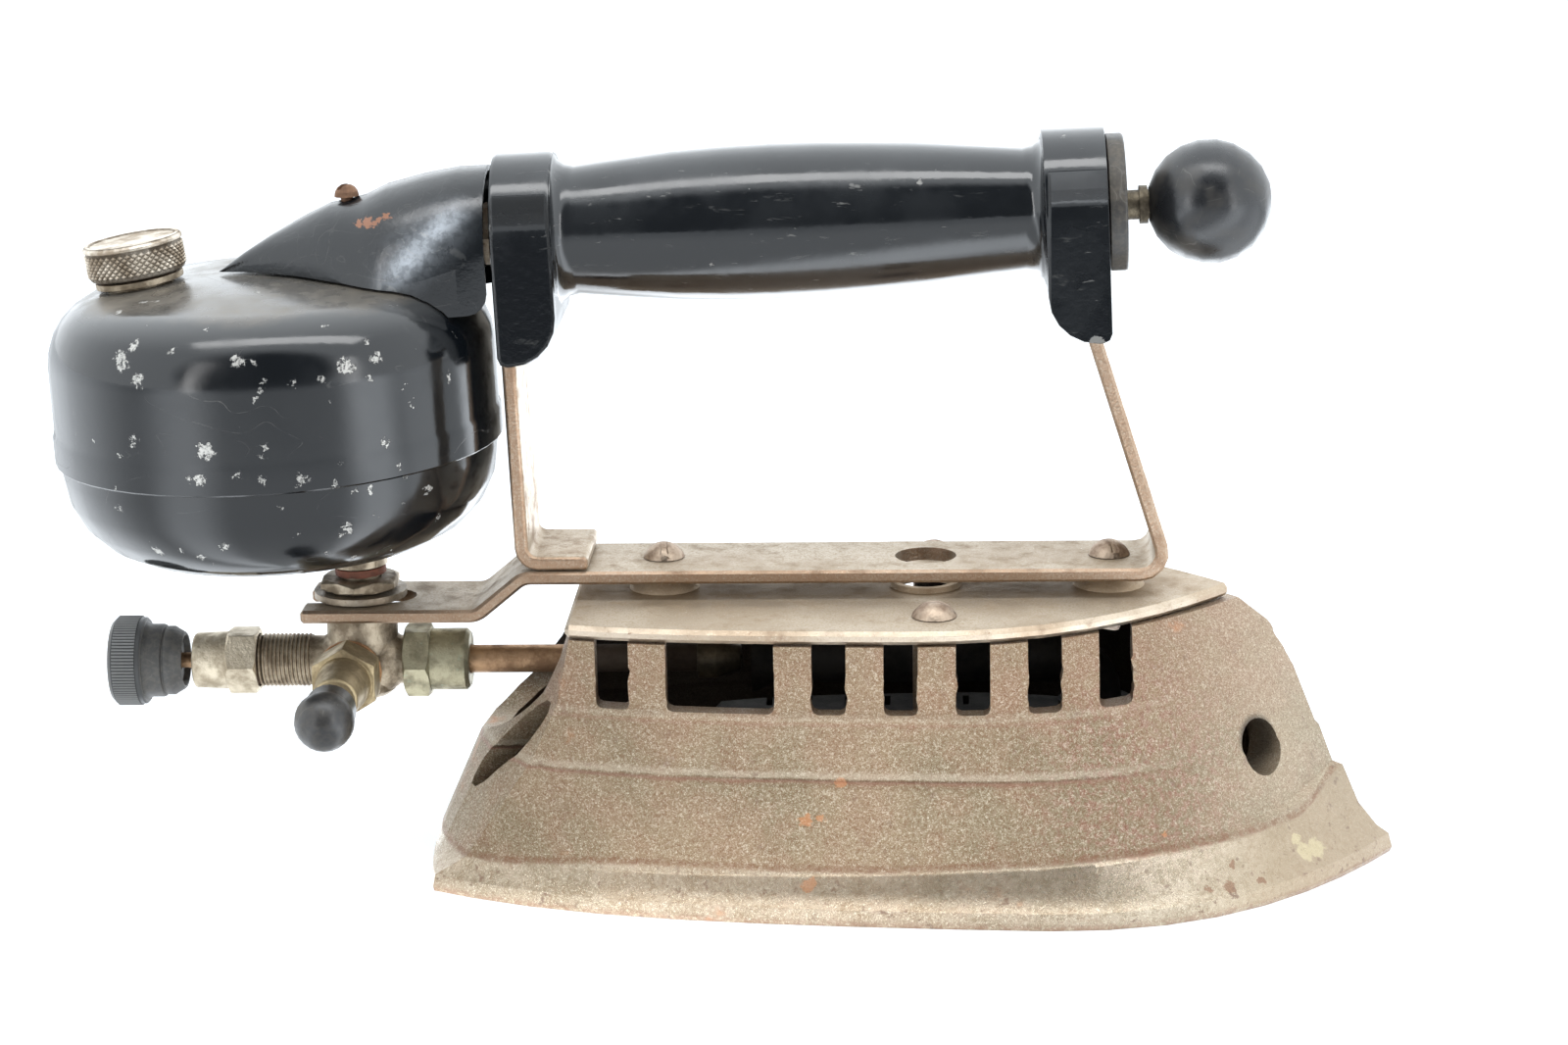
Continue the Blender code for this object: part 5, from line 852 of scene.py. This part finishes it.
def mergedCopy(node):
    # a CAD node's mesh, welded, without its imported normals and its flat inner edges
    shape = bmesh.new()
    shape.from_mesh(cadNodes[node].data)
    bmesh.ops.remove_doubles(shape, verts=shape.verts, dist=weldGap)
    for layer in list(shape.loops.layers.float_vector.values()):
        shape.loops.layers.float_vector.remove(layer)
    bmesh.ops.dissolve_limit(
        shape, angle_limit=radians(flatAngle), use_dissolve_boundaries=False,
        verts=shape.verts, edges=shape.edges,
    )
    return shape


windows = {
    "low": 0.038, "high": 0.062, "shortest": 0.006, "upright": 0.85, "cuts": 9,
    # the wave of an edge, which starts elsewhere for each edge and for the far side
    "shift": 0.00055, "pace": 380, "steps": 400, "start": 7.3, "farStart": 31,
}


def breakWindowEdges(shape, look):
    # the cast edges of the windows aren't straight
    tall = []
    for edge in shape.edges:
        rise = abs(edge.verts[0].co.z - edge.verts[1].co.z)
        inside = all(look["low"] < point.co.z < look["high"] for point in edge.verts)
        upright = rise > edge.calc_length() * look["upright"]
        if inside and rise > look["shortest"] and upright:
            tall.append(edge)
    made = bmesh.ops.subdivide_edges(shape, edges=tall, cuts=look["cuts"])
    for item in made["geom_inner"]:
        if isinstance(item, bmesh.types.BMVert):
            x, y, z = item.co
            start = round(x * look["steps"]) * look["start"] + (look["farStart"] if y > 0 else 0)
            item.co.x += noise.noise((start, 0, z * look["pace"])) * look["shift"]
    return len(tall)


for node, (body, finish, width, sharp) in dressing.items():
    shape = mergedCopy(node)
    if node == "base_casting":
        print("window edges broken:", breakWindowEdges(shape, windows))
    show(pieceName(node), shape, finish, body, sharp, (node,), width)
print("nodes dressed:", len(dressing))


# detailed pieces
def turned(profile, steps):
    # an outline of (radius, height) points turned about Z
    shape = bmesh.new()
    points = [shape.verts.new((radius, 0, height)) for radius, height in profile]
    outline = [shape.edges.new(pair) for pair in zip(points, points[1:])]
    bmesh.ops.spin(
        shape, geom=points + outline, cent=(0, 0, 0), axis=(0, 0, 1), angle=2 * pi,
        steps=steps, use_merge=True,
    )
    bmesh.ops.remove_doubles(shape, verts=shape.verts, dist=weldGap)
    bmesh.ops.recalc_face_normals(shape, faces=shape.faces)
    return shape


def repeat(shape, points, count):
    # copies of one tooth all the way round Z
    edges = dict.fromkeys(edge for point in points for edge in point.link_edges)
    faces = dict.fromkeys(face for point in points for face in point.link_faces)
    bmesh.ops.spin(
        shape, geom=[*points, *edges, *faces], cent=(0, 0, 0), axis=(0, 0, 1),
        angle=2 * pi * (count - 1) / count, steps=count - 1, use_duplicate=True,
    )


def ringOfTeeth(shape, count, place, size, tip, first=0.0):
    # four-sided teeth that point outwards, repeated about Z
    radius, height = place
    along, across, deep = size
    turn = Matrix.Rotation(first, 4, "Z") @ Matrix.Translation((radius + deep / 2, 0, height))
    stretch = Matrix.Diagonal((along, across, deep, 1))
    made = bmesh.ops.create_cone(
        shape, cap_ends=True, segments=4, radius1=1, radius2=tip, depth=1,
        matrix=turn @ Matrix.Rotation(quarterTurn, 4, "Y") @ stretch,
    )
    repeat(shape, made["verts"], count)


def moved(shape, place, axis, turn=0.0):
    lean = Vector((0, 0, 1)).rotation_difference(Vector(axis)).to_matrix().to_4x4()
    matrix = Matrix.Translation(place) @ lean @ Matrix.Rotation(turn, 4, "Z")
    bmesh.ops.transform(shape, matrix=matrix, verts=shape.verts)
    return shape


def everything(shape):
    return shape.verts[:] + shape.edges[:] + shape.faces[:]


fillerCap = {
    "low": 0.0003, "under": 0.0014, "high": 0.0076, "radius": 0.0104, "core": 0.00995,
    "seat": 0.0086, "plug": 0.0050, "plugLow": -0.0051, "rim": 0.0012, "dish": 0.0003,
    "diamonds": 42, "rows": 4, "bandLow": 0.0007, "bandHigh": 0.0060, "toothTip": 0.22,
    # small bevels, along the radius and along the height
    "plugEdge": (0.0004, 0.0005), "skirtEdge": (0.0002, 0.0003), "topEdge": (0.0005, 0.0006),
    # the lower and upper end of the step above the knurled band, and the width of the dish's edge
    "collarStep": (0.0002, 0.0005), "dishEdge": 0.0004,
}


def makeFillerCap(look):
    low, high, under, seat = look["low"], look["high"], look["under"], look["seat"]
    radius, core, plug, plugLow = look["radius"], look["core"], look["plug"], look["plugLow"]
    bandHigh, dished = look["bandHigh"], look["high"] - look["dish"]
    plugEdge, skirtEdge, topEdge = look["plugEdge"], look["skirtEdge"], look["topEdge"]
    below, above = look["collarStep"]
    inside = radius - look["rim"]
    profile = [
        (0, plugLow), (plug - plugEdge[0], plugLow), (plug, plugLow + plugEdge[1]),
        (plug, under), (seat, under), (seat, low),
        (core - skirtEdge[0], low), (core, low + skirtEdge[1]), (core, bandHigh + below),
        (radius, bandHigh + above), (radius, high - topEdge[1]),
        (radius - topEdge[0], high), (inside, high),
        (inside - look["dishEdge"], dished), (0, dished),
    ]
    shape = turned(profile, roundSteps)
    pitch = (bandHigh - look["bandLow"]) / look["rows"]
    half = pi / look["diamonds"]
    size = (pitch / 2, core * half, radius - core)
    for row in range(look["rows"]):
        height = look["bandLow"] + pitch * (row + 0.5)
        ringOfTeeth(shape, look["diamonds"], (core, height), size, look["toothTip"])
        if row:
            between = (core, height - pitch / 2)
            ringOfTeeth(shape, look["diamonds"], between, size, look["toothTip"], half)
    moved(shape, capFrame["place"], capFrame["axis"])
    show("fillerCap", shape, "capNickel", "filler_top", 32, ("filler_cap",))


mainKnob = {
    "front": -0.1589, "edge": 0.0004, "bore": 0.0023, "boreLow": 0.0012, "boreHigh": 0.0088,
    # the stepped hub: radius, height
    "hub": (
        (0.0051, 0.0012), (0.00546, 0), (0.0059, 0), (0.0062, 0.0003), (0.0070, 0.0017),
        (0.0073, 0.0021), (0.0074, 0.0023), (0.0074, 0.0036), (0.0072, 0.0039), (0.0072, 0.0041),
        (0.0077, 0.0043), (0.00785, 0.0047), (0.00785, 0.0071), (0.00805, 0.0077), (0.0084, 0.0081),
    ),
    "low": 0.0081, "high": 0.0153, "core": 0.00930, "radius": 0.00965,
    "teeth": 84, "toothLow": 0.0094, "toothLength": 0.0048,
}


def makeMainKnob(look):
    edge, core, low, high = look["edge"], look["core"], look["low"], look["high"]
    profile = [
        (0, look["boreHigh"]), (look["bore"], look["boreHigh"]), (look["bore"], look["boreLow"]),
        *look["hub"], (core - edge, low), (core, low + edge), (core, high - edge * 2),
        (core - edge * 2, high), (0, high),
    ]
    shape = turned(profile, roundSteps)
    length = look["toothLength"]
    size = Matrix.Diagonal((look["radius"] - core, core * pi / look["teeth"], length, 1))
    place = Matrix.Translation((core, 0, look["toothLow"] + length / 2))
    made = bmesh.ops.create_cone(
        shape, cap_ends=True, segments=4, radius1=1, radius2=1, depth=1, matrix=place @ size)
    repeat(shape, made["verts"], look["teeth"])
    moved(shape, (look["front"], 0, spindle["place"][2]), (-1, 0, 0))
    show("valveKnob", shape, "knurledKnob", "main_spindle", 32, ("valve_knob",))


thread = {
    "low": -0.1425, "high": -0.1316, "root": 0.00525, "crest": 0.00572, "pitch": 0.00088,
    "footShare": 0.46, "crestShare": 0.2, "steps": 28,
}


def makeThread(look):
    # one small ridge wound along the valve's barrel
    turns = (look["high"] - look["low"]) / look["pitch"]
    half = look["pitch"] * look["footShare"]
    top = half * look["crestShare"]
    root, crest = look["root"], look["crest"]
    outline = ((-half, root), (-top, crest), (top, crest), (half, root))
    shape = bmesh.new()
    points = [shape.verts.new((look["low"] + along, 0, height)) for along, height in outline]
    ridge = [shape.edges.new(pair) for pair in zip(points, points[1:])]
    bmesh.ops.spin(
        shape, geom=points + ridge, cent=(0, 0, 0), axis=spindle["axis"],
        dvec=(look["pitch"] / look["steps"], 0, 0), angle=2 * pi * turns,
        steps=round(look["steps"] * turns),
    )
    bmesh.ops.holes_fill(shape, edges=shape.edges)
    bmesh.ops.recalc_face_normals(shape, faces=shape.faces)
    bmesh.ops.translate(shape, vec=spindle["place"], verts=shape.verts)
    show("valveThread", shape, "threadBrass", "iron", 50)


screwHeads = {
    # node: head's width, its height, turn of the slot in degrees
    "cover_screw_near": (0.0094, 0.0030, 84),
    "cover_screw_far": (0.0094, 0.0030, 20),
    "strap_screw_rear": (0.0088, 0.0031, 5),
    "strap_screw_front": (0.0088, 0.0031, 20),
}
screwShape = {
    "slot": 0.0014, "slotFloor": 0.45, "steps": 40, "domeSteps": 10, "edge": 0.00008,
    # a face belongs to the dome if its normal rises by more than this
    "domeFacing": 0.1,
    # the head's flat underside lies a hair below the seat, and the shank ends a hair below it
    "headSunk": 0.00001, "shankSunk": 0.00002,
}


def makeScrew(node, head, height, turn, look):
    low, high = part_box(node)
    seat = high[2] - height
    radius = (head * head / 4 + height * height) / (2 * height)
    spread = asin(head / 2 / radius)
    steps, under = look["domeSteps"], -look["headSunk"]
    angles = [spread * step / steps for step in range(steps + 1)]
    dome = [(radius * sin(angle), height - radius * (1 - cos(angle))) for angle in angles]
    shape = turned(dome + [(head / 2, under), (0, under)], look["steps"])
    half = look["slot"] / 2
    for side in (-half, half):
        bmesh.ops.bisect_plane(
            shape, geom=everything(shape), plane_co=(side, 0, 0), plane_no=(1, 0, 0))
    middle = [
        face for face in shape.faces
        if abs(face.calc_center_median().x) < half and face.normal.z > look["domeFacing"]
    ]
    made = bmesh.ops.extrude_face_region(shape, geom=middle)
    for item in made["geom"]:
        if isinstance(item, bmesh.types.BMVert):
            item.co.z = min(item.co.z, height * look["slotFloor"])
    bmesh.ops.recalc_face_normals(shape, faces=shape.faces)
    centre = ((low[0] + high[0]) / 2, (low[1] + high[1]) / 2, seat)
    moved(shape, centre, (0, 0, 1), radians(turn))

    # the CAD screw below its head
    shank = mergedCopy(node)
    bmesh.ops.bisect_plane(
        shank, geom=everything(shank), plane_co=(0, 0, seat - look["shankSunk"]),
        plane_no=(0, 0, 1), clear_outer=True,
    )
    mesh = bpy.data.meshes.new("shank")
    shank.to_mesh(mesh)
    shank.free()
    shape.from_mesh(mesh)
    bpy.data.meshes.remove(mesh)
    show(pieceName(node), shape, "brownScrew", "iron", 32, (node,), look["edge"])


makeFillerCap(fillerCap)
makeMainKnob(mainKnob)
makeThread(thread)
for node, (head, height, turn) in screwHeads.items():
    makeScrew(node, head, height, turn, screwShape)
print("detailed pieces made")
